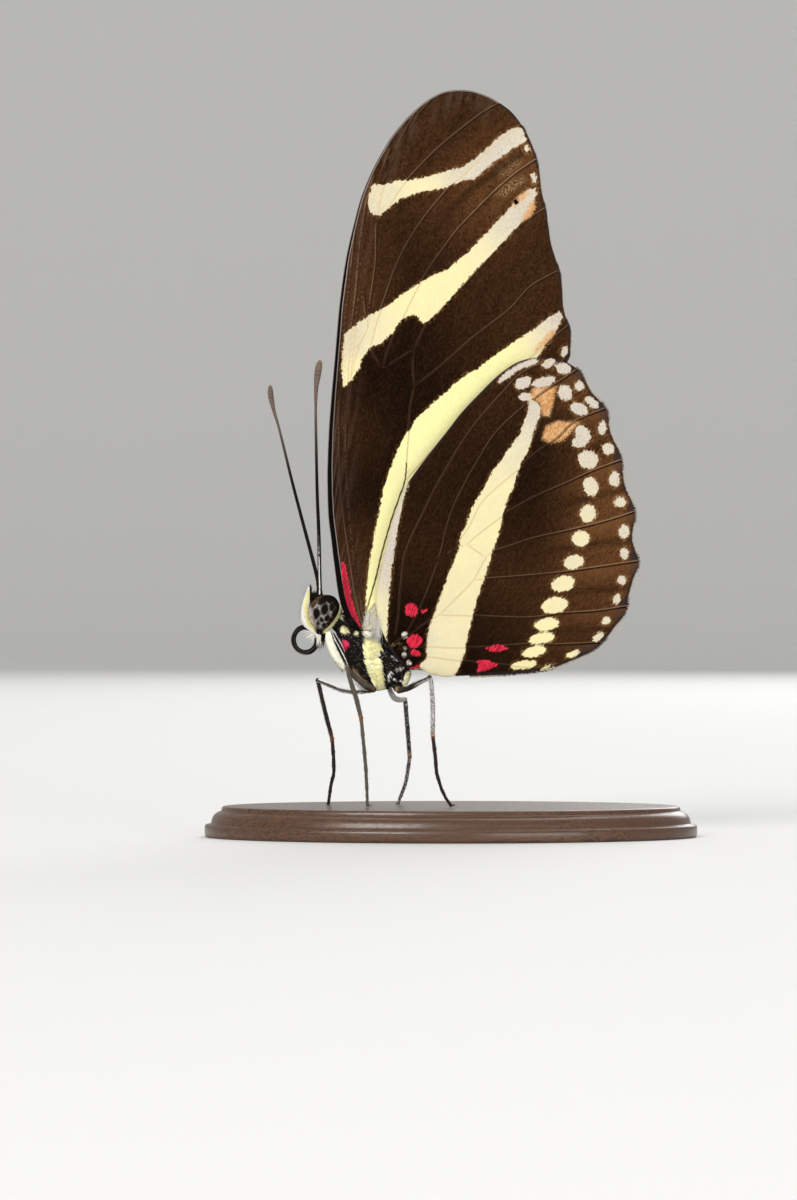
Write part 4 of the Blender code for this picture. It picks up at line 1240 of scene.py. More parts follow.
def drawn_over(shapes, voxel):
    """One closed skin over many overlapping closed shapes."""
    bundle = Bundle()
    for shape in shapes:
        bundle.take(*shape)
    mesh = bpy.data.meshes.new("core")
    faces = np.concatenate(bundle.quads).tolist() + np.concatenate(bundle.tris).tolist()
    mesh.from_pydata(np.concatenate(bundle.verts).tolist(), [], faces)
    bm = bmesh.new()
    bm.from_mesh(mesh)
    bmesh.ops.recalc_face_normals(bm, faces=bm.faces)
    bm.to_mesh(mesh)
    bm.free()
    core = bpy.data.objects.new("core", mesh)
    bpy.context.scene.collection.objects.link(core)
    remesh = core.modifiers.new("skin", "REMESH")
    remesh.mode = "VOXEL"
    remesh.voxel_size = voxel
    result = core.evaluated_get(bpy.context.evaluated_depsgraph_get()).to_mesh()
    verts = np.empty(len(result.vertices) * 3, np.float32)
    result.vertices.foreach_get("co", verts)
    loops = np.empty(len(result.loops), np.int32)
    result.loops.foreach_get("vertex_index", loops)
    bpy.data.objects.remove(core)
    bpy.data.meshes.remove(mesh)
    return verts.reshape(-1, 3).astype(float), loops.reshape(-1, 4)


def relax(verts, quads, rounds, amount=0.5):
    """Even out the steps that voxels leave."""
    edges = np.concatenate([quads[:, [0, 1]], quads[:, [1, 2]], quads[:, [2, 3]], quads[:, [3, 0]]])
    count = np.zeros(len(verts))
    np.add.at(count, edges[:, 0], 1)
    np.add.at(count, edges[:, 1], 1)
    for _ in range(rounds):
        total = np.zeros_like(verts)
        np.add.at(total, edges[:, 0], verts[edges[:, 1]])
        np.add.at(total, edges[:, 1], verts[edges[:, 0]])
        verts = verts + amount * (total / count[:, None] - verts)
    return verts


def normals_of(verts, quads):
    """Direction out of a surface at each of its points."""
    first, second, third, fourth = (verts[quads[:, corner]] for corner in range(4))
    across = np.cross(third - first, fourth - second)
    result = np.zeros_like(verts)
    for corner in range(4):
        np.add.at(result, quads[:, corner], across)
    return result / np.maximum(np.linalg.norm(result, axis=1), 1e-9)[:, None]


def mirrored(path):
    """The same path on the other side of the middle plane."""
    return path * (1.0, -1.0, 1.0)


class BodyMarks:
    """Where the body's pale, red and golden places are, for the skin and the coat alike."""

    def __init__(self):
        self.axis = spline(from_photo(BODY_AXIS, 0.0), 0.1)
        self.lengths = lengths_along(self.axis)
        self.ahead = unit(np.gradient(self.axis, axis=0))

    def round_axis(self, points):
        """Share along the body's axis, turn round it from the back, and height above it in mm."""
        flat = points[:, [0, 2]]
        nearest = np.array([np.argmin(np.sum((self.axis - place) ** 2, axis=1)) for place in flat])
        off = flat - self.axis[nearest]
        across = np.stack([-self.ahead[nearest, 1], self.ahead[nearest, 0]], axis=1)
        height = np.sum(off * across, axis=1)
        slip = np.sum(off * self.ahead[nearest], axis=1)
        along = (self.lengths[nearest] + slip) / self.lengths[-1]
        angle = (np.arctan2(points[:, 1], -height) / math.tau + 0.5) % 1.0
        return along, angle, height

    def uv(self, along, angle):
        return np.stack([0.04 + 0.92 * np.clip(along, -0.03, 1.03), 0.01 + 0.98 * angle], axis=1)

    def values(self, points):
        flat = points[:, [0, 2]]
        sides = np.abs(points[:, 1])
        marks = {"cream": BODY_CREAM, "white": BODY_WHITE_AND_HIGHLIGHTS, "red": BODY_RED, "gold": BODY_GOLD}
        result = {key: mark_distance(flat, rings, BODY_PLANE) for key, rings in marks.items()}
        folded = np.stack([points[:, 0], sides, points[:, 2]], axis=1)
        for pixels, out, radius in HEAD_PALE:
            path = path_3d(pixels, (out, out))
            result["cream"] = np.maximum(result["cream"], radius - path_distance(folded, path))
        along, angle, height = self.round_axis(points)
        abdomen_start = from_photo([(408, 657)], 0.0)[0, 0]
        behind = smooth_step(points[:, 0], abdomen_start - 0.3, abdomen_start + 0.5)
        segment = ((points[:, 0] - abdomen_start) / SEGMENT_MM) % 1.0
        side_line = 0.16 - np.abs(height + 0.15) - 0.12 * smooth_step(np.abs(segment - 0.5), 0.3, 0.5)
        belly_line = 0.2 - np.abs(sides - 0.42) - 0.3 * (height > -0.5)
        back_spot = 0.16 - np.hypot((segment - 0.75) * SEGMENT_MM, sides - 0.3) - 0.5 * (height < 0.5)
        rear = np.maximum(np.maximum(side_line, belly_line), back_spot)
        result["cream"] = np.where(behind > 0.5, rear, result["cream"])
        for key in ("red", "gold"):
            result[key] = np.where(behind > 0.5, -1.0, result[key])
        return result, self.uv(along, angle)


def body_paint():
    """Dark scales with cream, white, red and golden places, for skin, coat and loose hairs."""
    paint = Paint("body_scales", roughness=0.6, Sheen_Weight=0.03, Sheen_Roughness=0.4,
                  Specular_IOR_Level=0.08)
    chance = paint.value("chance")
    _, grain = paint.cells(15.0)
    ragged = paint.add(paint.centred(paint.noise(9.0, 3.0), 0.16), paint.times(chance, 0.05))

    def mask(name, soft=0.025):
        return paint.step(paint.add(paint.value(name), ragged), -soft, soft)

    surface = paint.mix(grain, (0.0035, 0.003, 0.003), (0.013, 0.009, 0.007))
    # Sparse light specks on the black: pale scales, and painted glints of light on the glossy hair.
    surface = paint.mix(paint.math("GREATER_THAN", grain, 0.972), surface, (0.26, 0.22, 0.18))
    surface = paint.mix(paint.step(chance, 0.9, 1.0, 0.0, 0.8), surface, (0.07, 0.045, 0.025))
    gold = paint.times(mask("gold", 0.12), paint.step(paint.noise(5.0, 4.0), 0.36, 0.5))
    surface = paint.mix(gold, surface, (0.42, 0.29, 0.15))
    cream = paint.step(paint.noise(2.2, 3.0), 0.4, 0.62)
    cream = paint.mix(cream, (0.98, 0.95, 0.60), (0.98, 0.90, 0.42))
    cream = paint.mix(paint.step(chance, 0.4, 1.0, 0.0, 0.5), cream, (0.98, 0.96, 0.74))
    surface = paint.mix(mask("cream"), surface, cream)
    # White marks, two of them painted highlights.
    surface = paint.mix(mask("white", 0.05), surface, (0.96, 0.94, 0.88))
    on_skin = paint.fade(paint.value("white"), 0.5, 0.9)
    specks = paint.times(mask("white", 0.05), on_skin)
    specks = paint.times(specks, paint.step(paint.noise(10.0, 2.0), 0.62, 0.66))
    surface = paint.mix(paint.times(specks, 0.85), surface, (0.03, 0.025, 0.02))
    red = paint.mix(chance, (0.99, 0.065, 0.18), (0.90, 0.045, 0.12))
    surface = paint.mix(mask("red"), surface, red)
    paint.colour(surface)
    paint.bump(paint.add(paint.noise(14.0, 4.0), paint.times(grain, 0.5)), 0.03, 0.7)
    return paint.material


# Each tuft has three points at each of two stations, and one at its tip.
# Stations are shares of the tuft's length, lift and width.
TUFT_POINTS = 7
TUFT_STATIONS = [(0.0, -0.1, 0.7), (0.55, 0.75, 1.0)]
TUFT_QUADS = [[0, 1, 4, 3], [1, 2, 5, 4], [2, 0, 3, 5]]
TUFT_TRIS = [[2, 1, 0], [3, 4, 6], [4, 5, 6], [5, 3, 6]]


def blades(roots, normals, flow, length, width, lift, turn, uv, random):
    """Thin tapered tufts that rise from their roots and lean along the flow."""
    count = len(roots)
    flow = flow - normals * np.sum(flow * normals, axis=1)[:, None]
    flow /= np.maximum(np.linalg.norm(flow, axis=1), 1e-6)[:, None]
    side = np.cross(normals, flow)
    swing = (random.random(count) - 0.5) * 2.0 * turn
    flow, side = (flow * np.cos(swing)[:, None] + side * np.sin(swing)[:, None],
                  side * np.cos(swing)[:, None] - flow * np.sin(swing)[:, None])
    length = np.broadcast_to(length, count) * (0.7 + 0.6 * random.random(count))
    width = np.broadcast_to(width, count) * (0.8 + 0.4 * random.random(count))
    lift = np.broadcast_to(lift, count) * (0.6 + 0.8 * random.random(count))
    verts, patch = [], []
    for share, rise, size in TUFT_STATIONS:
        centre = roots + flow * (length * share)[:, None] + normals * (length * lift * rise)[:, None]
        half, deep = side * (width * size * 0.5)[:, None], normals * (width * 0.3)[:, None]
        verts += [centre + half, centre - half, centre + deep]
        patch += [(-1.0, share), (1.0, share), (0.0, share)]
    verts.append(roots + flow * length[:, None] + normals * (length * lift)[:, None])
    patch.append((0.0, 1.0))
    verts = np.stack(verts, axis=1).reshape(-1, 3)
    spread = (np.array(patch) - (0.0, 0.5)) * (0.0015, 0.003)
    uv = (uv[:, None, :] + spread[None, :, :]).reshape(-1, 2)
    start = np.arange(count)[:, None, None] * TUFT_POINTS
    quads = (start + np.array(TUFT_QUADS)).reshape(-1, 4)
    tris = (start + np.array(TUFT_TRIS)).reshape(-1, 3)
    return verts, quads, tris, uv


def sample_surface(verts, quads, normals, count, weight, random):
    """Even random places on a surface, thinned by a weight for each of its points."""
    tris = np.concatenate([quads[:, [0, 1, 2]], quads[:, [0, 2, 3]]])
    a, b, c = (verts[tris[:, corner]] for corner in range(3))
    area = np.linalg.norm(np.cross(b - a, c - a), axis=1) * weight[tris].mean(axis=1)
    chosen = random.choice(len(tris), size=count, p=area / area.sum())
    first, second = random.random(count), random.random(count)
    fold = first + second > 1.0
    first[fold], second[fold] = 1.0 - first[fold], 1.0 - second[fold]
    shares = np.stack([1.0 - first - second, first, second], axis=1)
    corners = tris[chosen]
    places = np.einsum("ij,ijk->ik", shares, verts[corners])
    ups = np.einsum("ij,ijk->ik", shares, normals[corners])
    return places, unit(ups)


def segment_swell(along):
    """Size along the abdomen: a little less where two segments meet."""
    off = ((along - 1.3) / SEGMENT_MM) % 1.0 - 0.5
    return 1.0 - 0.035 * np.exp(-(off / 0.1) ** 2)


def add_body():
    """One skin over head, thorax and abdomen."""
    shapes = [ringed(THORAX_RINGS), ringed(ABDOMEN_RINGS, swell=segment_swell)]
    for x, z, out, radii, tilt in LOBES:
        for side in ((1.0,) if out == 0.0 else (-1.0, 1.0)):
            place = from_photo([(x, z)], -out)[0]
            shapes.append(ball((place[0], side * out, place[1]), radii, tilt))
    for pixels, outs, radii in LIMBS:
        path = spline(path_3d(pixels, outs), 0.15)
        sizes = np.linspace(*radii, len(path))
        for line in ((path,) if outs[0] == 0.0 else (path, mirrored(path))):
            shapes.append(rod(line, sizes, sides=14))
    verts, quads = drawn_over(shapes, SKIN_VOXEL)
    verts = relax(verts, quads, 6)
    normals = normals_of(verts, quads)
    flat = verts[:, [0, 2]]
    groove = np.zeros(len(verts))
    for suture in SUTURES:
        away = path_distance(flat, spline(from_photo(suture, BODY_PLANE), 0.2))
        groove = np.maximum(groove, np.exp(-((away / 0.09) ** 2)))
    verts = verts - normals * (0.07 * groove * smooth_step(np.abs(verts[:, 1]), 0.3, 0.7))[:, None]
    marks = BodyMarks()
    values, uv = marks.values(verts)
    paint = body_paint()
    corner_uv = uv[quads.ravel()].reshape(-1, 4, 2)
    wrapped = (corner_uv[:, :, 1].max(axis=1) - corner_uv[:, :, 1].min(axis=1)) > 0.5
    wrapped_part = corner_uv[wrapped]
    wrapped_part[:, :, 1] = np.where(wrapped_part[:, :, 1] < 0.5, 0.995, wrapped_part[:, :, 1])
    corner_uv[wrapped] = wrapped_part
    make_mesh("body_skin", verts, quads, paint, {**values, "chance": np.zeros(len(verts))},
              uv=corner_uv.reshape(-1, 2), slot="body", replaces=("head", "thorax", "abdomen"))
    return verts, quads, normals, marks, paint


def add_coat(verts, quads, normals, marks, paint):
    """Short tufts that lie along the body, longer ones where they stand out in the photograph."""
    random = np.random.default_rng(21)
    head_rear = from_photo([(341, 620)], 0.0)[0, 0]
    eye_ring = from_photo(EYE_OUTLINE, EYE_RIM_PLANE)
    flat = verts[:, [0, 2]]
    under_eye = (ring_distance(flat, eye_ring) > 0.02) & (np.abs(verts[:, 1]) > 0.62)
    on_head = (verts[:, 0] < head_rear) & (verts[:, 2] > from_photo([(330, 634)], 0.0)[0, 1])
    fore_face, rear_face = (-from_photo([(pixel, 0)], 0.0)[0, 0] for pixel in (312, 322))
    for name, where, count, length, width, lift in (
        ("coat_body", ~on_head, 15000, 0.3, 0.055, 0.09),
        ("coat_head", on_head & ~under_eye, 5200, 0.3, 0.035, 0.28),
    ):
        roots, ups = sample_surface(verts, quads, normals, count, where.astype(float), random)
        flow = np.tile([1.0, 0.0, -0.45], (count, 1))
        if name == "coat_head":
            front = smooth_step(-roots[:, 0], rear_face, fore_face)
            flow = np.stack([1.0 - 1.5 * front, np.zeros(count), -0.5 + 1.9 * front], axis=1)
            length = 0.2 + 0.3 * front
        else:
            behind = smooth_step(roots[:, 0], -4.2, -3.2)
            flow[:, 2] = -0.9 + 0.95 * behind
        values, uv = marks.values(roots)
        shape = blades(roots, ups, flow, length, width, lift, 0.35, uv, random)
        bundle = Bundle()
        values = {"chance": random.random(count), **values}
        bundle.take(*shape, **{key: np.repeat(value, TUFT_POINTS) for key, value in values.items()})
        bundle.build(name, paint, slot="body")


# Rim of the near eye in photo pixels.
EYE_OUTLINE = [
    (327.9, 594.8), (333, 596.2), (336.6, 599.4), (339.3, 605.5), (338.2, 612.5), (333.2, 621),
    (326, 628.4), (321.1, 630.1), (315.8, 628), (311.2, 622.3), (308.4, 615.2), (308.6, 609.2),
    (310.8, 603.6), (316, 598.4), (321.7, 595.4),
]
# Shape of the dome: distance from the middle in mm, and size there as a share of the rim.
EYE_PROFILE = [
    (0.66, 0.76), (0.8, 0.84), (0.95, 0.93), (1.1, 0.99), (1.25, 1.0), (1.4, 0.955), (1.55, 0.86),
    (1.68, 0.71), (1.77, 0.54), (1.825, 0.35), (1.845, 0.17), (1.85, 0.0),
]
EYE_TURNS, EYE_ROWS = 96, 40
# Dark spots of the eye: middle, half width, half height and tilt in degrees.
EYE_SPOTS = [
    (316.5, 613.6, 2.7, 5.0, -3), (324.7, 609.4, 3.2, 4.9, -8), (332.0, 607.0, 1.9, 3.7, -10),
    (322.2, 601.8, 3.8, 2.0, 28), (329.8, 600.8, 2.5, 1.9, -10), (335.2, 602.8, 1.7, 2.6, 20),
    (327.2, 618.0, 2.0, 2.7, -20), (321.6, 619.8, 1.5, 1.5, 0), (324.2, 625.0, 1.4, 1.9, -10),
    (334.2, 613.4, 1.6, 3.6, -20), (330.8, 619.8, 1.3, 2.2, -30), (313.6, 604.6, 0.9, 2.4, -35),
    (318.2, 623.2, 1.1, 1.2, 0), (328.4, 623.6, 1.0, 1.2, 0), (313.0, 618.8, 0.9, 1.5, 0),
]
# How light the eye is at a few places in photo pixels.
EYE_LIGHT = [
    (320.3, 607.5, 0.85), (320.6, 613.5, 1.0), (322.6, 616.6, 1.0), (329.4, 606.4, 0.75),
    (329.2, 612.4, 0.85), (326.8, 603.2, 0.5), (331.8, 603.2, 0.45), (335.2, 608.4, 0.4),
    (318.6, 618.2, 0.8), (324.4, 621.6, 0.9), (328.6, 621.8, 0.65), (321.4, 623.6, 0.75),
    (331.2, 616.0, 0.65), (316.6, 606.4, 0.85), (312.8, 611.0, 0.6), (312.4, 616.5, 0.6),
    (315.6, 622.0, 0.6), (319.0, 603.0, 0.4), (325.5, 615.5, 0.8), (320.0, 627.0, 0.45),
    (319.0, 597.6, 0.0), (324.0, 596.4, 0.0), (328.5, 596.4, 0.0), (335.2, 599.4, 0.0),
    (338.2, 605.5, 0.0), (337.4, 611.5, 0.0), (334.4, 617.5, 0.05), (329.5, 625.0, 0.15),
    (324.0, 628.5, 0.3), (312.5, 602.5, 0.2),
]


def eye_paint():
    paint = Paint("eye_facets", roughness=0.34, Specular_IOR_Level=0.015)
    dome, chance = paint.cells(24.0)
    wobble = paint.centred(paint.noise(6.0, 3.0), 0.2)
    light = paint.step(paint.add(paint.value("light"), paint.times(wobble, 0.8)), 0.15, 0.8)
    grey = paint.step(paint.noise(4.5, 3.0), 0.36, 0.64)
    grey = paint.mix(grey, (0.135, 0.117, 0.105), (0.43, 0.41, 0.395))
    grey = paint.mix(paint.value("rim"), grey, (0.20, 0.15, 0.135))
    surface = paint.mix(light, (0.006, 0.004, 0.0035), grey)
    spots = paint.step(paint.add(paint.value("spots"), wobble), -0.2, 0.03)
    surface = paint.mix(spots, surface, (0.0085, 0.0045, 0.0032))
    surface = paint.mix(paint.times(paint.value("front"), 0.88), surface, (0.52, 0.44, 0.36))
    blot, _ = paint.cells(2.3)
    blot = paint.times(paint.fade(blot, 0.22, 0.46, 0.45), paint.value("front"))
    surface = paint.mix(blot, surface, (0.05, 0.036, 0.03))
    surface = paint.mix(paint.times(paint.value("brow"), 0.55), surface, (0.14, 0.08, 0.035))
    surface = paint.mix(paint.step(chance, 0.0, 1.0, 0.0, 0.1), surface, (0.012, 0.010, 0.009))
    paint.colour(surface)
    paint.bump(paint.times(dome, -1.0), 0.012, 0.5)
    return paint.material


def add_eyes():
    """Domed eyes, spotted and shaded as in the photograph."""
    paint = eye_paint()
    turns = EYE_TURNS
    outline = from_photo(EYE_OUTLINE, EYE_RIM_PLANE)
    ring = spline(outline, 0.05, closed=True)
    centre = outline.mean(axis=0)
    angles = round_angles(turns)
    ring_angles = np.arctan2(ring[:, 1] - centre[1], ring[:, 0] - centre[0])
    ring_reach = np.linalg.norm(ring - centre, axis=1)
    order = np.argsort(ring_angles)
    reach = np.interp(angles, ring_angles[order] % math.tau, ring_reach[order], period=math.tau)
    profile = spline(EYE_PROFILE, 1.9 / EYE_ROWS)
    profile = profile[profile[:, 1] > 0.012]
    count = len(profile)
    x = centre[0] + profile[:, 1, None] * reach[None, :] * np.cos(angles)[None, :]
    z = centre[1] + profile[:, 1, None] * reach[None, :] * np.sin(angles)[None, :]
    y = np.repeat(profile[:, 0, None], turns, axis=1)
    flat = np.stack([x.ravel(), z.ravel()], axis=1)
    tip = len(flat)
    flat = np.concatenate([flat, centre[None, :], centre[None, :]])
    height = np.concatenate([y.ravel(), [EYE_PROFILE[-1][0]], [EYE_PROFILE[0][0]]])
    quads, _ = tube_faces(count, turns)
    index = np.arange(turns)
    following = (index + 1) % turns
    last = (count - 1) * turns
    tris = np.concatenate([
        np.stack([last + index, last + following, np.full(turns, tip)], axis=1),
        np.stack([following, index, np.full(turns, tip + 1)], axis=1),
    ])
    spots = mark_distance(flat, ovals(EYE_SPOTS), EYE_SPOT_PLANE)
    light = blend_of(flat, EYE_LIGHT, EYE_SPOT_PLANE, 0.3)
    edge = ring_distance(flat, ring)
    left, top = flat[:, 0] - centre[0], flat[:, 1] - centre[1]
    front = smooth_step(-left - 0.25 * top, 0.80, 1.15) * (1.0 - smooth_step(top, 0.3, 0.9))
    brow = smooth_step(-left + 0.9 * top, 0.95, 1.35)
    brow = brow * smooth_step(top, 0.0, 0.5) * smooth_step(-left, -0.5, 0.1)
    values = {"spots": spots, "light": light, "front": front, "brow": brow,
              "rim": smooth_step(-edge, -0.28, -0.02)}
    for side, label in ((-1, "left"), (1, "right")):
        verts = np.stack([flat[:, 0], side * height, flat[:, 1]], axis=1)
        faces = [quads, tris] if side < 0 else [quads[:, ::-1], tris[:, ::-1]]
        make_mesh("eye_" + label + "_dome", verts, faces, paint, values,
                  slot="eye", replaces=("eye_" + label,))


# Palp: front and rear of each ring in photo pixels, and its half width in mm.
PALP_RINGS = [
    ((315.5, 635), (318.5, 629.8), 0.2), ((309.5, 630.2), (314, 626.6), 0.24),
    ((304.4, 626), (311.4, 622.8), 0.26), ((301.6, 620), (309.6, 618.8), 0.28),
    ((301.1, 614), (309, 613.4), 0.27), ((302, 607), (309.3, 607.2), 0.25),
    ((303.5, 601), (309.6, 601.5), 0.22), ((305.3, 595), (309.7, 596.5), 0.17),
    ((307.1, 590.2), (309.6, 591.8), 0.12), ((308.5, 587), (309.5, 588), 0.05),
]
PALP_OUT = 0.66
PALP_TUFTS, PALP_BRISTLES, PALP_TIP_HAIRS = 1500, 44, 90
# Line of the yellow stripe, and of the dark tip.
PALP_YELLOW = [
    (308.9, 593), (307.4, 600), (305.6, 605), (305.4, 609.4), (306.9, 613), (307, 617.2),
    (308.9, 622.3), (311.8, 625.8), (316, 629.8),
]
PALP_TIP = [(310.2, 604), (310.3, 597), (310.3, 588)]
# Tongue: middle of the coil and its outer and inner reach in photo pixels, its height as a share of
# its width, how far it winds in degrees, and the distance from ring to ring in mm.
PROBOSCIS_CENTRE = (305.3, 639.8)
PROBOSCIS_TURN = (11.9, 11.0)
PROBOSCIS_STRETCH = 1.07
PROBOSCIS_START, PROBOSCIS_WOUND = 4, 560
PROBOSCIS_RING = 0.16
PROBOSCIS_STEM = [(317.4, 629.5), (317.2, 633.5), (317.4, 638.0)]


def palp_paint():
    paint = Paint("palp_scales", roughness=0.62, Specular_IOR_Level=0.1)
    chance = paint.value("chance")
    ragged = paint.centred(paint.noise(9.0, 3.0), 0.1)
    yellow = paint.step(paint.add(paint.value("yellow"), ragged), -0.07, 0.07)
    surface = paint.mix(yellow, (0.99, 0.97, 0.90), (0.99, 0.93, 0.42))
    surface = paint.mix(paint.times(yellow, paint.step(paint.noise(2.0), 0.45, 0.7, 0.0, 0.45)), surface,
                        (0.97, 0.76, 0.25))
    surface = paint.mix(paint.step(chance, 0.0, 1.0, 0.0, 0.2), surface, (0.96, 0.93, 0.82))
    dark = paint.step(paint.add(paint.value("dark"), paint.times(ragged, 2.0)), -0.03, 0.03)
    surface = paint.mix(dark, surface, (0.008, 0.007, 0.006))
    paint.colour(surface)
    paint.bump(paint.noise(16.0, 4.0), 0.03, 0.8)
    return paint.material


def horn_paint():
    """Dark horny skin with rings and a coat of pale scales where it is asked for."""
    paint = Paint("horn", roughness=0.4, Specular_IOR_Level=0.04)
    speckle = paint.noise(11.0, 4.0)
    _, chance = paint.cells(20.0)
    surface = paint.mix(paint.value("club"), (0.005, 0.0045, 0.004), (0.15, 0.105, 0.085))
    surface = paint.mix(paint.step(speckle, 0.4, 0.7, 0.0, 0.55), surface, paint.mix(
        paint.value("club"), (0.022, 0.016, 0.013), (0.27, 0.21, 0.18)))
    surface = paint.mix(paint.times(paint.value("ring"), 0.6), surface, (0.01, 0.008, 0.007))
    white = paint.add(paint.value("white"), paint.centred(chance, 0.5))
    white = paint.step(white, 0.45, 0.55)
    surface = paint.mix(white, surface, (0.72, 0.70, 0.66))
    surface = paint.mix(paint.value("rust"), surface, (0.36, 0.15, 0.05))
    # Painted highlight on the front edge of the tongue.
    surface = paint.mix(paint.value("gleam"), surface, (0.50, 0.50, 0.44))
    paint.colour(surface)
    paint.roughness(paint.step(speckle, 0.3, 0.8, 0.3, 0.6))
    paint.bump(speckle, 0.012, 0.6)
    return paint.material


def rod_values(path, verts):
    """For the points of a rod: distance and share along it, and direction out from its line."""
    offsets = verts[:, None, :] - path[None, :, :]
    nearest = np.argmin(np.sum(offsets**2, axis=2), axis=1)
    out = offsets[np.arange(len(verts)), nearest]
    length = np.maximum(np.linalg.norm(out, axis=1), 1e-6)
    steps = lengths_along(path)
    return steps[nearest], steps[nearest] / steps[-1], out / length[:, None]


def hairs(roots, tips, width, sides=3, bend=None):
    """Fine tapered hairs between two sets of places, bent sideways in the middle."""
    count = len(roots)
    ahead = tips - roots
    length = np.linalg.norm(ahead, axis=1)[:, None]
    ahead = ahead / length
    helper = np.where(np.abs(ahead[:, 1:2]) > 0.9, [[1.0, 0.0, 0.0]], [[0.0, 1.0, 0.0]])
    side = np.cross(ahead, helper)
    side /= np.linalg.norm(side, axis=1)[:, None]
    up = np.cross(ahead, side)
    bend = np.zeros((count, 3)) if bend is None else bend
    verts = []
    for share, size in ((0.0, 0.5), (0.35, 0.5), (0.7, 0.36)):
        centre = roots + ahead * length * share + bend * (4.0 * share * (1.0 - share))
        for corner in range(sides):
            angle = math.tau * corner / sides
            verts.append(centre + (side * math.cos(angle) + up * math.sin(angle)) * width * size)
    verts.append(tips)
    stride = 3 * sides + 1
    verts = np.stack(verts, axis=1).reshape(-1, 3)
    quads, tris = [], []
    for corner in range(sides):
        following = (corner + 1) % sides
        quads += [[corner, following, sides + following, sides + corner],
                  [sides + corner, sides + following, 2 * sides + following, 2 * sides + corner]]
        tris.append([2 * sides + corner, 2 * sides + following, 3 * sides])
    tris.append([sides - 1, sides - 2, sides - 3])
    start = np.arange(count)[:, None, None] * stride
    quads = (start + np.array(quads)).reshape(-1, 4)
    tris = (start + np.array(tris)).reshape(-1, 3)
    return verts, quads, tris, stride


def take_hairs(bundle, roots, tips, width, sides=3, **values):
    """Hairs with their values, all of one hair painted from the place of its root."""
    verts, quads, tris, stride = hairs(roots, tips, width, sides=sides)
    bundle.take(verts, quads, tris, uv=np.repeat(flat_patch(roots), stride, axis=0), **values)


def add_palps():
    """Scaled palps with a dark tip, bristles in front and loose hairs at the tip."""
    paint = palp_paint()
    random = np.random.default_rng(31)
    stripe = spline(from_photo(PALP_YELLOW, -PALP_OUT), 0.1)
    dark_hair = {"yellow": -1.0, "dark": 1.0, "chance": 0.0}
    for side, label in ((-1, "left"), (1, "right")):
        bundle = Bundle()
        verts, quads, tris = ringed(PALP_RINGS, y=-PALP_OUT, corners=28, step=0.06)
        lean = (verts[:, 2] - verts[:, 2].min()) * 0.035
        verts[:, 1] = side * (-verts[:, 1] - lean)
        yellow = 0.15 - path_distance(verts[:, [0, 2]], stripe)
        bundle.take(verts, quads, tris, uv=flat_patch(verts), yellow=yellow, dark=-1.0, chance=0.0)

        ups = normals_of(verts, quads)
        ups = ups * np.sign(np.sum(ups * (verts - verts.mean(axis=0))))
        roots, root_ups = sample_surface(verts, quads, ups, PALP_TUFTS, np.ones(len(verts)), random)
        flow = np.tile([-0.05, 0.0, 1.0], (PALP_TUFTS, 1))
        low = roots[:, 2] < from_photo([(0, 622)], 0.0)[0, 1]
        flow[low] = (-1.0, 0.0, 0.55)
        shape = blades(roots, root_ups, flow, 0.2, 0.045, 0.07, 0.3, flat_patch(roots), random)
        yellow = np.repeat(0.15 - path_distance(roots[:, [0, 2]], stripe), TUFT_POINTS)
        bundle.take(*shape, yellow=yellow, dark=-1.0,
                    chance=np.repeat(random.random(PALP_TUFTS), TUFT_POINTS))

        tip = spline(path_3d(PALP_TIP, (0.56, 0.5)) * (1.0, side, 1.0), 0.1)
        radii = np.interp(np.linspace(0, 1, len(tip)), [0, 0.3, 0.8, 1], [0.05, 0.12, 0.11, 0.05])
        verts, quads, tris = rod(tip, radii, sides=12)
        bundle.take(verts, quads, tris, uv=flat_patch(verts), **dark_hair)

        count = PALP_BRISTLES
        edge = path_3d([ring[0] for ring in PALP_RINGS[1:]], (0.66, 0.56))
        edge = spline(edge * (1.0, side, 1.0), 0.05)
        starts = edge[random.integers(len(edge) // 4, len(edge), count)]
        starts = starts + random.normal(0.0, 1.0, (count, 3)) * (0.02, 0.09, 0.02) + (0.04, 0.0, 0.0)
        reach = 0.15 + 0.45 * random.random(count)
        aim = np.stack([-0.85 + 0.5 * random.random(count), 0.7 * (random.random(count) - 0.5),
                        0.5 + 0.8 * random.random(count)], axis=1)
        take_hairs(bundle, starts, starts + aim * reach[:, None], 0.006, **dark_hair)

        count = PALP_TIP_HAIRS
        starts = tip[random.integers(2, len(tip), count)] + random.normal(0.0, 0.05, (count, 3))
        aim = np.stack([0.1 * random.random(count) - 0.02, 0.2 * (random.random(count) - 0.5),
                        0.15 + 0.2 * random.random(count)], axis=1)
        take_hairs(bundle, starts, starts + aim, 0.035, **dark_hair)
        bundle.build("palp_" + label + "_scaled", paint, slot="palp", replaces=("palp_" + label,))


def flat_patch(points):
    """Place on a side view with the left half above and the right half below."""
    x = 0.02 + (points[:, 0] + 20.0) / 40.0 * 0.96
    z = 0.01 + (points[:, 2] + 5.0) / 75.0 * 0.48
    return np.stack([x, z + 0.5 * (points[:, 1] > 0.0)], axis=1)


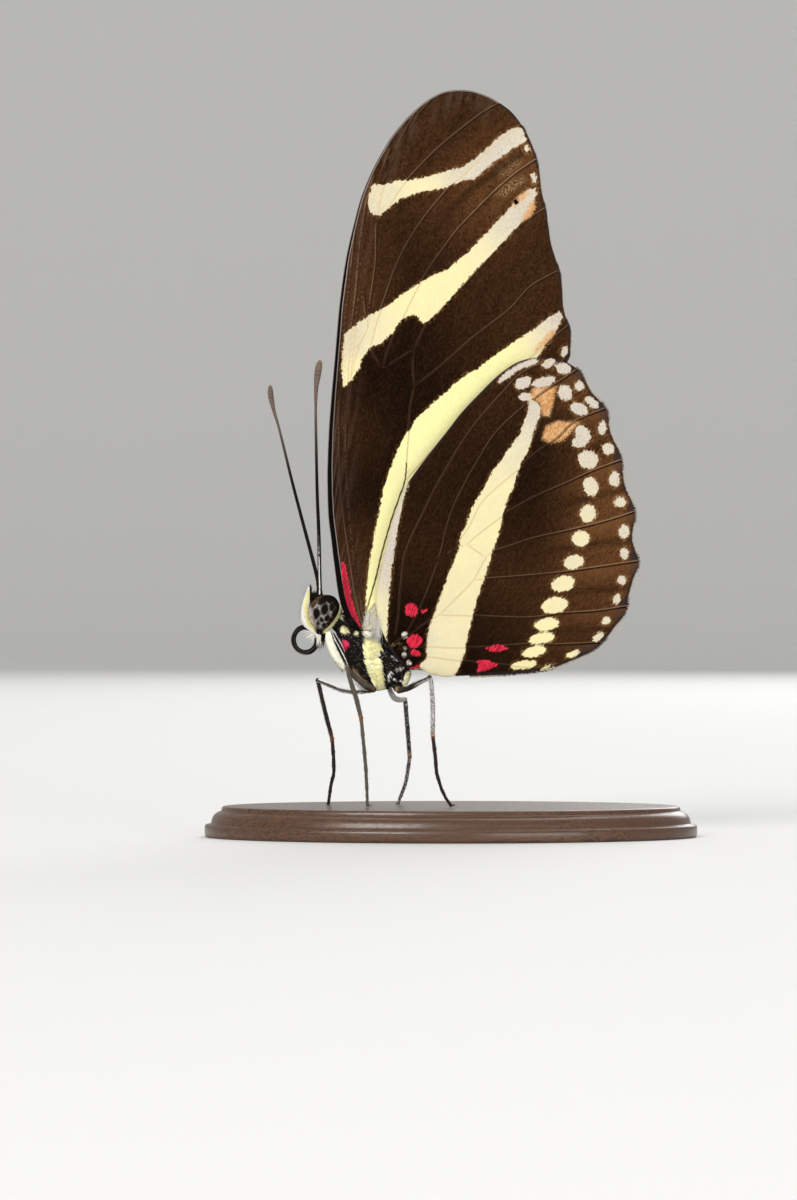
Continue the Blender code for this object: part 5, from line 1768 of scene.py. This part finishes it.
def add_proboscis(paint):
    """Coiled tongue with fine rings, a groove on each side and a painted highlight on its front edge."""
    centre = from_photo([PROBOSCIS_CENTRE], 0.0)[0]
    stem = path_3d(PROBOSCIS_STEM, (0.0, 0.0))
    angles = np.linspace(math.radians(PROBOSCIS_START),
                         math.radians(PROBOSCIS_START - PROBOSCIS_WOUND), 110)
    share = np.linspace(0.0, 1.0, len(angles))
    outer, inner = (reach * PIXEL_MM for reach in PROBOSCIS_TURN)
    reach = np.where(share < 0.5, outer, outer + (inner - outer) * (share - 0.5) / 0.5)
    x = centre[0] + reach * np.cos(angles)
    y = 0.13 - 0.3 * smooth_step(share, 0.2, 0.75)
    z = centre[1] + PROBOSCIS_STRETCH * reach * np.sin(angles)
    coil = np.stack([x, y, z], axis=1)
    path = spline(np.concatenate([stem[:-1], coil[::3], coil[-1:]]), 0.06)
    share = np.linspace(0, 1, len(path))
    radii = np.interp(share, [0.0, 0.1, 0.5, 0.9, 1.0], [0.21, 0.226, 0.212, 0.15, 0.06])
    verts, quads, tris = rod(path, radii, sides=20)
    along, _, out = rod_values(path, verts)
    ring = smooth_step(np.abs((along / PROBOSCIS_RING) % 1.0 - 0.5), 0.32, 0.5)
    groove = smooth_step(np.abs(out[:, 1]), 0.98, 0.998)
    # Painted highlight along the outer rim of the coil, on its front side.
    off = verts[:, [0, 2]] - centre
    rim = smooth_step(np.linalg.norm(off, axis=1), 1.12, 1.19)
    rim = rim * smooth_step(-off[:, 0] - 0.5 * off[:, 1], 0.1, 0.9)
    bundle = Bundle()
    bundle.take(verts, quads, tris, ring=0.5 * ring, club=0.35 * groove, white=0.0, rust=0.0,
                gleam=0.7 * rim)
    bundle.build("proboscis_coil", paint, slot="horn", replaces=("proboscis",))


# Feelers: path in photo pixels, how far out the tip stands and the club's radius in mm.
ANTENNAE = {
    "left": (
        [
            (320.0, 596.5), (319.9, 586), (319.6, 573), (318.8, 533), (317.2, 493.5), (316.2, 446),
            (315.7, 410), (316.2, 388), (318, 372), (320.2, 360),
        ],
        5.0,
        0.285,
    ),
    "right": (
        [
            (319.2, 596.5), (318.4, 586), (315.9, 572), (303.5, 525), (292, 481), (279.5, 430),
            (274.2, 412), (271, 397), (270.2, 385),
        ],
        9.0,
        0.24,
    ),
}
ANTENNA_BASE_OUT = 0.42
ANTENNA_RING = 0.34
CLUB_SHARE = 0.2


def add_antennae(paint):
    """Ringed feelers with a pale line along the lower half and a lighter club."""
    stations = [0.0, 0.012, 0.03, 0.05, 1 - CLUB_SHARE, 0.88, 0.93, 0.97, 0.99, 1.0]
    for label, (pixels, spread, club) in ANTENNAE.items():
        side = -1.0 if label == "left" else 1.0
        heights = np.array([pixels[0][1] - pixel[1] for pixel in pixels])
        outs = ANTENNA_BASE_OUT + (spread - ANTENNA_BASE_OUT) * heights / heights[-1]
        path = side_path(pixels, side, outs)
        share = np.linspace(0.0, 1.0, len(path))
        radii = np.interp(share, stations, [
            0.21, 0.23, 0.17, 0.165, 0.105, 0.6 * club, 0.95 * club, club, 0.7 * club, 0.2 * club,
        ])
        groove = smooth_step(np.abs((lengths_along(path) / ANTENNA_RING) % 1.0 - 0.5), 0.34, 0.5)
        verts, quads, tris = rod(path, radii * (1.0 - 0.07 * groove), sides=20)
        along, share_at, out = rod_values(path, verts)
        ring = smooth_step(np.abs((along / ANTENNA_RING) % 1.0 - 0.5), 0.36, 0.5)
        line = 1.0 - smooth_step(np.abs(out[:, 0] + 0.1), 0.26, 0.46)
        white = (1.0 - 0.75 * smooth_step(share_at, 0.08, 0.3)) * line * (out[:, 1] * side > 0.0)
        white *= smooth_step(share_at, 0.006, 0.014) * (1.0 - smooth_step(share_at, 0.45, 0.7))
        bundle = Bundle()
        bundle.take(verts, quads, tris, ring=ring, white=white * 0.8,
                    club=smooth_step(share_at, 0.5, 0.93),
                    rust=0.6 * smooth_step(share_at, 0.985, 1.0), gleam=0.0)
        bundle.build("antenna_" + label + "_ringed", paint, slot="horn",
                     replaces=("antenna_" + label,))


# Walking legs: each part's path in photo pixels with its distances from the middle in mm at both
# ends, how pale each of the three parts is, and which way the claws point.
LEGS = {
    "midleg_left": {
        "femur": ([(374, 688.5), (364, 684), (354, 676), (347.2, 668.5)], (0.75, 3.0)),
        "tibia": ([(347.2, 668.5), (351.6, 684.5), (356, 698), (361.2, 718.5)], (3.0, 3.3)),
        "tarsus": ([(361.2, 718.5), (363, 738), (364.8, 757), (366.2, 775), (367.5, 806.3)], (3.3, 3.4)),
        "pale": (0.02, 0.06, 0.02), "claw": 1.0,
    },
    "midleg_right": {
        "femur": ([(375, 690), (356, 691.6), (343, 690), (333.5, 686.6), (317.8, 680.3)], (0.7, 2.8)),
        "tibia": ([(317.8, 680.3), (324.5, 710), (332.2, 739)], (2.8, 3.1)),
        "tarsus": ([(332.2, 739), (333.6, 760), (333.6, 774), (331, 785), (328, 806.3)], (3.1, 3.4)),
        "pale": (0.06, 0.1, 0.02), "claw": -1.0,
    },
    "hindleg_left": {
        "femur": ([(398, 691.5), (409, 688), (419, 682.3), (429.5, 677.2)], (0.75, 3.1)),
        "tibia": ([(430.8, 677.5), (432.6, 702), (432.8, 735)], (3.1, 3.4)),
        "tarsus": ([(432.8, 735), (435.2, 756), (437.2, 775), (443.8, 794), (451.6, 806.3)], (3.4, 3.7)),
        "pale": (0.12, 0.66, 0.03), "claw": 1.0,
    },
    "hindleg_right": {
        "femur": ([(389.5, 689.5), (393.5, 697), (398.5, 699.6), (405, 699.4)], (0.65, 2.6)),
        "tibia": ([(405, 699.4), (407.3, 727), (409.6, 757.5)], (2.6, 3.2)),
        "tarsus": ([(409.6, 757.5), (407.6, 772), (404.6, 786), (396.6, 806.3)], (3.2, 3.6)),
        "pale": (0.85, 0.2, 0.3), "claw": -1.0,
    },
}
LEG_PARTS = ("femur", "tibia", "tarsus")
LEG_RADII = {
    "femur": (0.18, 0.225, 0.18), "tibia": (0.165, 0.18, 0.16), "tarsus": (0.135, 0.125, 0.105),
}
LEG_TUFTS = {"femur": 420, "tibia": 420, "tarsus": 330}
LEG_SPINES = {"tibia": 16, "tarsus": 26}
KNEE_RUST = {"femur": 0.2, "tibia": 0.5}


def leg_paint(name, dark, light):
    paint = Paint(name, roughness=0.5, Specular_IOR_Level=0.12)
    _, chance = paint.cells(17.0)
    speckle = paint.noise(9.0, 4.0)
    surface = paint.mix(speckle, dark, light)
    amount = paint.add(paint.value("pale"), paint.centred(chance, 0.75))
    silver = paint.mix(chance, (0.36, 0.34, 0.33), (0.74, 0.72, 0.70))
    surface = paint.mix(paint.step(amount, 0.42, 0.58), surface, silver)
    surface = paint.mix(paint.value("white"), surface, (0.90, 0.89, 0.87))
    cream = paint.mix(speckle, (0.97, 0.95, 0.84), (0.94, 0.90, 0.70))
    surface = paint.mix(paint.value("cream"), surface, cream)
    surface = paint.mix(paint.times(paint.value("rust"), 0.85), surface, (0.28, 0.10, 0.035))
    surface = paint.mix(paint.value("amber"), surface, (0.72, 0.38, 0.07))
    paint.colour(surface)
    paint.bump(paint.add(speckle, paint.times(chance, 0.6)), 0.02, 0.7)
    return paint.material


def take_limb(bundle, path, radii, random, tufts, **values):
    """A rod with its values and a coat of small tufts that point down it."""
    verts, quads, tris = rod(path, radii, sides=16)
    _, share, out = rod_values(path, verts)
    bundle.take(verts, quads, tris, uv=flat_patch(verts), **{
        key: value(share, out) if callable(value) else value for key, value in values.items()
    })
    picks = random.integers(1, len(path) - 1, tufts)
    angles = random.random(tufts) * math.tau
    ahead = unit(np.gradient(path, axis=0)[picks])
    helper = unit(np.cross(ahead, [0.3, 0.8, 0.2]))
    ups = helper * np.cos(angles)[:, None] + np.cross(ahead, helper) * np.sin(angles)[:, None]
    roots = path[picks] + ups * (radii[picks] * 0.96)[:, None]
    shape = blades(roots, ups, ahead, 0.17, 0.045, 0.16, 0.3, flat_patch(roots), random)
    _, share, out = rod_values(path, roots)
    bundle.take(*shape, **{
        key: np.repeat(value(share, out), TUFT_POINTS) if callable(value) else value
        for key, value in values.items()
    })


def leg_detail(rust, pale=-1.0):
    """Values of the small parts of a leg, which carry no white, cream or amber."""
    return {"pale": pale, "white": 0.0, "cream": 0.0, "rust": rust, "amber": 0.0}


def leg_white(leg, part, pale, random):
    """White edges of a leg's part, by share along it and direction out from its line."""
    start = 0.45 if leg == "hindleg_left" else 0.0

    def femur(share, out):
        above = smooth_step(out[:, 2], 0.3, 0.5)
        below = smooth_step(-out[:, 2], 0.2, 0.55) * random.random(len(share))
        return (above + below) * smooth_step(share, start, start + 0.25)

    def tibia(share, out):
        return smooth_step(-out[:, 0], 0.78, 0.9) * 0.7

    if leg == "midleg_left" or pale > 0.5:
        return 0.0
    return {"femur": femur, "tibia": tibia, "tarsus": 0.0}[part]


def leg_rust(part):
    """Rusty ends of a leg's part."""
    return {
        "femur": lambda share, out: 0.35 * (1.0 - smooth_step(share, 0.0, 0.2)),
        "tibia": lambda share, out: 0.9 * smooth_step(share, 0.86, 1.0),
        "tarsus": lambda share, out: 0.9 * (1.0 - smooth_step(share, 0.0, 0.06)),
    }[part]


def knee_amber(share, out):
    """Amber end of a femur, on its lower side."""
    return smooth_step(share, 0.88, 0.97) * smooth_step(-out[:, 2], 0.0, 0.5)


def add_spines(bundle, path, radii, count):
    """Short spines in two rows down one part of a leg."""
    picks = np.linspace(4, len(path) - 3, count).astype(int)
    ahead = unit(np.gradient(path, axis=0)[picks])
    rows = np.where(np.arange(count) % 2, 1.0, -1.0)[:, None]
    aside = np.cross(ahead, [0.0, 1.0, 0.0]) * rows
    roots = path[picks] + aside * (radii[picks] * 0.7)[:, None]
    take_hairs(bundle, roots, roots + aside * 0.1 + ahead * 0.2, 0.03, **leg_detail(0.3))


def add_foot(bundle, foot, heading):
    """Two curved claws and the pad between them."""
    for aim in (-1.0, 1.0):
        claw = spline(foot + np.array([
            (0.0, 0.04 * aim, 0.07), (0.2 * heading, 0.1 * aim, 0.12),
            (0.36 * heading, 0.17 * aim, 0.06), (0.4 * heading, 0.19 * aim, -0.02),
        ]), 0.03)
        verts, quads, tris = rod(claw, np.linspace(0.05, 0.012, len(claw)))
        bundle.take(verts, quads, tris, uv=flat_patch(verts), **leg_detail(0.4))
    pad = ball(foot + (0.1 * heading, 0.0, 0.06), (0.14, 0.12, 0.07), rows=8, columns=12)
    bundle.take(*pad, uv=flat_patch(pad[0]), **leg_detail(0.2, pale=0.1))


def add_legs():
    """The four walking legs, then the two forelegs."""
    black_paint = leg_paint("leg_scales", (0.006, 0.005, 0.005), (0.045, 0.03, 0.022))
    grey_paint = leg_paint("grey_leg_scales", (0.030, 0.024, 0.020), (0.20, 0.165, 0.135))
    random = np.random.default_rng(41)
    for leg, shape in LEGS.items():
        side = -1.0 if leg.endswith("left") else 1.0
        bundle = Bundle()
        for part, pale in zip(LEG_PARTS, shape["pale"]):
            pixels, outs = shape[part]
            path = side_path(pixels, side, np.interp(np.linspace(0, 1, len(pixels)), [0, 1], outs))
            share = np.linspace(0.0, 1.0, len(path))
            radii = np.interp(share, [0.0, 0.5, 1.0], LEG_RADII[part])
            if part == "tarsus":
                radii = radii * (1.0 + 0.22 * smooth_step((share * 5.0) % 1.0, 0.55, 0.95))
            amber = knee_amber if leg == "hindleg_right" and part == "femur" else 0.0
            take_limb(bundle, path, radii, random, LEG_TUFTS[part], pale=pale,
                      white=leg_white(leg, part, pale, random), cream=0.0, rust=leg_rust(part),
                      amber=amber)
            if part in KNEE_RUST:
                knee = ball(path[-1], np.full(3, radii[-1] * 1.08), rows=8, columns=12)
                bundle.take(*knee, uv=flat_patch(knee[0]), **leg_detail(KNEE_RUST[part], pale=pale))
            if part in LEG_SPINES:
                add_spines(bundle, path, radii, LEG_SPINES[part])
            if part == "tibia":
                for aim in (-1.0, 1.0):
                    spur = path[-3:-2]
                    take_hairs(bundle, spur, spur + (0.16 * aim, 0.06 * aim, -0.5), 0.06, sides=5,
                               **leg_detail(0.4, pale=0.1))
        add_foot(bundle, path[-1], shape["claw"])
        bundle.build(leg + "_scaled", grey_paint if leg == "midleg_left" else black_paint,
                     slot="leg", replaces=tuple(leg + "_" + part for part in LEG_PARTS))
    add_forelegs(black_paint, random)


# Forelegs: small and folded against the chest, the lower half drawn up beside the upper.
FORELEG_FRONT = [(328.4, 631.6), (330, 641), (333.6, 650.5), (339, 660), (345, 669.5)]
FORELEG_REAR = [(332.4, 633.4), (336.2, 641.5), (341.2, 650.5), (346.2, 660.5), (348.2, 666)]
FORELEG_HAIRS = 60


def add_forelegs(paint, random):
    """Forelegs with a cream front, a white line behind and a rusty fringe of hair."""
    def cream(share, out):
        return 1.0 - smooth_step(0.87 * out[:, 0] + 0.5 * out[:, 2], 0.8, 0.9)

    def white(share, out):
        return 1.0 - smooth_step(np.abs(0.87 * out[:, 0] + 0.5 * out[:, 2] + 0.1), 0.1, 0.3)

    for side, label in ((-1.0, "left"), (1.0, "right")):
        bundle = Bundle()
        front = spline(path_3d(FORELEG_FRONT, (0.85, 1.12)) * (1.0, side, 1.0), 0.07)
        share = np.linspace(0.0, 1.0, len(front))
        radii = np.interp(share, [0.0, 0.15, 0.6, 0.88, 1.0], [0.22, 0.34, 0.36, 0.25, 0.1])
        take_limb(bundle, front, radii, random, 700, **{**leg_detail(0.0), "cream": cream})
        rear = spline(path_3d(FORELEG_REAR, (1.0, 1.2)) * (1.0, side, 1.0), 0.07)
        share = np.linspace(0, 1, len(rear))
        radii = np.interp(share, [0.0, 0.2, 0.7, 1.0], [0.1, 0.17, 0.16, 0.08])
        take_limb(bundle, rear, radii, random, 450, **{**leg_detail(0.0), "white": white})
        count = FORELEG_HAIRS
        roots = front[random.integers(4, len(front), count)] + (-0.2, 0.0, -0.06)
        roots = roots + random.normal(0.0, 0.03, (count, 3))
        aim = np.stack([-0.06 + 0.1 * random.random(count), np.zeros(count),
                        -0.18 - 0.22 * random.random(count)], axis=1)
        take_hairs(bundle, roots, roots + aim, 0.022, **leg_detail(0.8))
        bundle.build("foreleg_" + label + "_scaled", paint, slot="leg",
                     replaces=("foreleg_" + label,))


# Long loose hairs: where they grow and where they end in photo pixels, distances from the middle
# at both, how many, how far they scatter in mm, width in mm, and whether they are pale.
LOOSE_HAIRS = [
    ((313, 631), (301.5, 632.6), 0.6, 0.75, 4, 0.008, 0.055, 1.0),
    ((313.6, 632), (303, 636), 0.62, 0.7, 4, 0.008, 0.05, 1.0),
    ((314.2, 632.6), (304.8, 639.6), 0.64, 0.8, 4, 0.008, 0.06, 1.0),
    ((315, 633.2), (307.4, 643), 0.66, 0.75, 4, 0.008, 0.05, 1.0),
    ((316, 633.8), (310.6, 645.6), 0.68, 0.8, 5, 0.010, 0.06, 1.0),
    ((319.4, 631), (318.6, 647), 0.78, 0.82, 46, 0.07, 0.07, 1.0),
    ((316.8, 630.4), (316.2, 639), 0.74, 0.8, 34, 0.06, 0.06, 1.0),
    ((323.4, 632), (322.5, 649), 0.6, 0.62, 14, 0.06, 0.03, 0.0),
    ((321.6, 633), (318.6, 652), 0.6, 0.66, 6, 0.06, 0.018, 0.0),
    ((323, 631), (323, 641), 0.6, 0.6, 60, 0.11, 0.034, 0.0),
    ((371, 639), (370, 606), 1.62, 1.9, 60, 0.16, 0.016, 1.0),
    ((376, 640), (377, 612), 1.62, 1.9, 60, 0.14, 0.016, 1.0),
    ((366, 637), (364.5, 616), 1.62, 1.95, 40, 0.12, 0.016, 1.0),
    ((379, 641), (381, 622), 1.62, 1.8, 40, 0.12, 0.016, 1.0),
    ((313, 602), (312.5, 595.5), 0.3, 0.35, 90, 0.12, 0.026, 0.0),
    ((316.5, 598), (314, 592.5), 0.2, 0.2, 60, 0.12, 0.026, 0.0),
]


def add_loose_hairs(paint, marks):
    """Fine hairs that stand free at the head and the wing roots."""
    random = np.random.default_rng(51)
    bundle = Bundle()
    for start, end, start_out, end_out, count, scatter, width, pale in LOOSE_HAIRS:
        for side in (-1.0, 1.0):
            root = path_3d([start], (start_out,))[0] * (1.0, side, 1.0)
            tip = path_3d([end], (end_out,))[0] * (1.0, side, 1.0)
            roots = root + random.normal(0.0, scatter, (count, 3)) * (1.0, 0.6, 1.0)
            share = 0.75 + 0.35 * random.random(count)
            spread = random.normal(0.0, 1.6 * scatter, (count, 3)) * (1.0, 0.5, 1.0)
            tips = root + (tip - root) * share[:, None] + spread
            bend = random.normal(0.0, 0.04, (count, 3))
            verts, quads, tris, stride = hairs(roots, tips, width, bend=bend)
            along, angle, _ = marks.round_axis(roots)
            uv = np.repeat(marks.uv(along, angle), stride, axis=0)
            uv = uv + random.uniform(-0.0015, 0.0015, uv.shape)
            white = 1.0 if pale else -1.0
            bundle.take(verts, quads, tris, uv=uv, cream=-1.0, white=white, red=-1.0, gold=-1.0,
                        chance=np.repeat(random.random(count), stride))
    bundle.build("loose_hairs", paint, slot="body")


def wood_paint():
    paint = Paint("base_wood", roughness=0.35, Coat_Weight=0.2, Coat_Roughness=0.16)
    grain = paint.stretch(paint.millimetres(), (0.05, 1.0, 1.0))
    rings = paint.noise(1.1, 5.0, grain, 0.6)
    pores = paint.noise(14.0, 3.0, paint.stretch(paint.millimetres(), (0.06, 1.0, 1.0)))
    wave = paint.math("FRACT", paint.times(rings, 7.0))
    surface = paint.mix(paint.step(wave, 0.0, 1.0), (0.040, 0.016, 0.007), (0.125, 0.055, 0.023))
    broad = paint.step(paint.noise(0.25, 3.0, grain), 0.35, 0.7)
    surface = paint.mix(broad, surface, (0.085, 0.037, 0.017))
    surface = paint.mix(paint.step(pores, 0.58, 0.72, 0.0, 0.6), surface, (0.022, 0.010, 0.005))
    paint.colour(surface)
    paint.roughness(paint.step(pores, 0.4, 0.7, 0.26, 0.45))
    paint.bump(paint.add(paint.times(pores, -1.0), paint.times(rings, 0.3)), 0.03, 0.35)
    return paint.material


# Moulding of the base from below to its rim: how far in from its edge, and how high, in mm.
BASE_PROFILE = [
    (0.35, 0.0), (0.12, 0.04), (0.03, 0.14), (0.0, 0.3), (0.0, 0.75), (0.03, 0.92), (0.12, 1.02),
    (0.3, 1.06), (0.46, 1.08), (0.52, 1.14), (0.55, 1.3), (0.62, 1.55), (0.76, 1.78), (0.95, 1.95),
    (1.15, 2.05), (1.3, 2.1), (1.36, 2.16), (1.38, 2.3), (1.42, 2.41), (1.52, 2.48),
]
BASE_TOP_INSET, BASE_TURNS = 1.66, 200


def add_base():
    """Turned oval of dark wood with a moulded edge."""
    corner_low, corner_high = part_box("stand_base")
    length = (corner_high.x - corner_low.x) / MM / 2
    width = (corner_high.y - corner_low.y) / MM / 2
    top = corner_high.z / MM
    profile = [*BASE_PROFILE, (BASE_TOP_INSET, top)]
    angles = round_angles(BASE_TURNS)
    verts = np.concatenate([
        np.stack([(length - inset) * np.cos(angles), (width - inset) * np.sin(angles),
                  np.full(BASE_TURNS, height)], axis=1)
        for inset, height in profile
    ])
    verts = np.concatenate([verts, [[0.0, 0.0, 0.0], [0.0, 0.0, top]]])
    quads, tris = tube_faces(len(profile), BASE_TURNS)
    base = make_mesh("base_turned", verts, [quads, tris], wood_paint(),
                     slot="base", replaces=("stand_base",))
    base.data.polygons.foreach_set("use_smooth", [True] * len(quads) + [False] * len(tris))


STAGE_RADIUS, STAGE_CURVE, STAGE_HEIGHT = 1100.0, 400.0, 650.0
STAGE_TURNS = 72


def add_stage():
    """Round pale floor that curves up into a low backdrop on every side."""
    paint = Paint("floor", roughness=0.85)
    paint.colour((0.74, 0.74, 0.73))
    profile = [(1.0, 0.0), (STAGE_RADIUS, 0.0)]
    for angle in np.linspace(0.0, math.pi / 2, 12)[1:]:
        profile.append((STAGE_RADIUS + STAGE_CURVE * math.sin(angle),
                        STAGE_CURVE * (1.0 - math.cos(angle))))
    profile.append((STAGE_RADIUS + STAGE_CURVE, STAGE_HEIGHT))
    turns = STAGE_TURNS
    angles = [math.tau * turn / turns for turn in range(turns)]
    mesh = bpy.data.meshes.new("floor")
    verts = [(reach * math.cos(angle) * MM, reach * math.sin(angle) * MM, z * MM)
             for reach, z in profile for angle in angles]
    quads, _ = tube_faces(len(profile), turns)
    faces = [*quads.tolist(), range(turns)]
    mesh.from_pydata(verts, [], faces)
    mesh.polygons.foreach_set("use_smooth", [True] * len(faces))
    mesh.materials.append(paint.material)
    floor = bpy.data.objects.new("floor", mesh)
    bpy.context.scene.collection.objects.link(floor)


def add_light(name, place, target, size, power, colour=(1.0, 1.0, 1.0)):
    """Square-cornered lamp at a place in mm, turned to a target."""
    data = bpy.data.lights.new(name, "AREA")
    data.shape = "RECTANGLE"
    data.size, data.size_y = size[0] * MM, size[1] * MM
    data.energy = power
    data.color = colour
    item = bpy.data.objects.new(name, data)
    bpy.context.scene.collection.objects.link(item)
    item.location = Vector(place) * MM
    item.rotation_euler = (Vector(target) - Vector(place)).to_track_quat("-Z", "Y").to_euler()


def add_lights():
    """Four soft lamps and a pale surround, as in daylight shade."""
    middle = (0.0, 0.0, 28.0)
    add_light("key", (-390.0, -840.0, 495.0), middle, (450.0, 450.0), 6.2, (1.0, 0.985, 0.955))
    add_light("fill", (430.0, -800.0, 150.0), middle, (540.0, 260.0), 2.1, (1.0, 0.99, 0.98))
    add_light("top", (90.0, 240.0, 780.0), middle, (540.0, 540.0), 2.5)
    add_light("rear", (260.0, 820.0, 420.0), middle, (450.0, 450.0), 2.4)
    world = bpy.data.worlds.new("studio")
    world.use_nodes = True
    world.node_tree.nodes["Background"].inputs["Color"].default_value = (0.93, 0.92, 0.90, 1.0)
    world.node_tree.nodes["Background"].inputs["Strength"].default_value = 0.5
    bpy.context.scene.world = world
    bpy.context.scene.view_settings.view_transform = "Standard"


def add_camera():
    """The photograph's view, square on to the left side."""
    data = bpy.data.cameras.new("camera")
    data.sensor_width = SENSOR
    data.lens = SENSOR * CAMERA_DISTANCE / (PHOTO_HEIGHT * PIXEL_MM)
    data.clip_start, data.clip_end = 0.02, 10.0
    camera = bpy.data.objects.new("camera", data)
    bpy.context.scene.collection.objects.link(camera)
    camera.location = Vector((VIEW_X, WING_PLANE - CAMERA_DISTANCE, VIEW_Z)) * MM
    camera.rotation_euler = (math.pi / 2, 0.0, 0.0)
    bpy.context.scene.camera = camera


add_wings()
skin_verts, skin_quads, skin_normals, body_marks, skin_paint = add_body()
add_coat(skin_verts, skin_quads, skin_normals, body_marks, skin_paint)
add_loose_hairs(skin_paint, body_marks)
add_eyes()
add_palps()
horn = horn_paint()
add_proboscis(horn)
add_antennae(horn)
add_legs()
add_base()
add_stage()
add_lights()
add_camera()
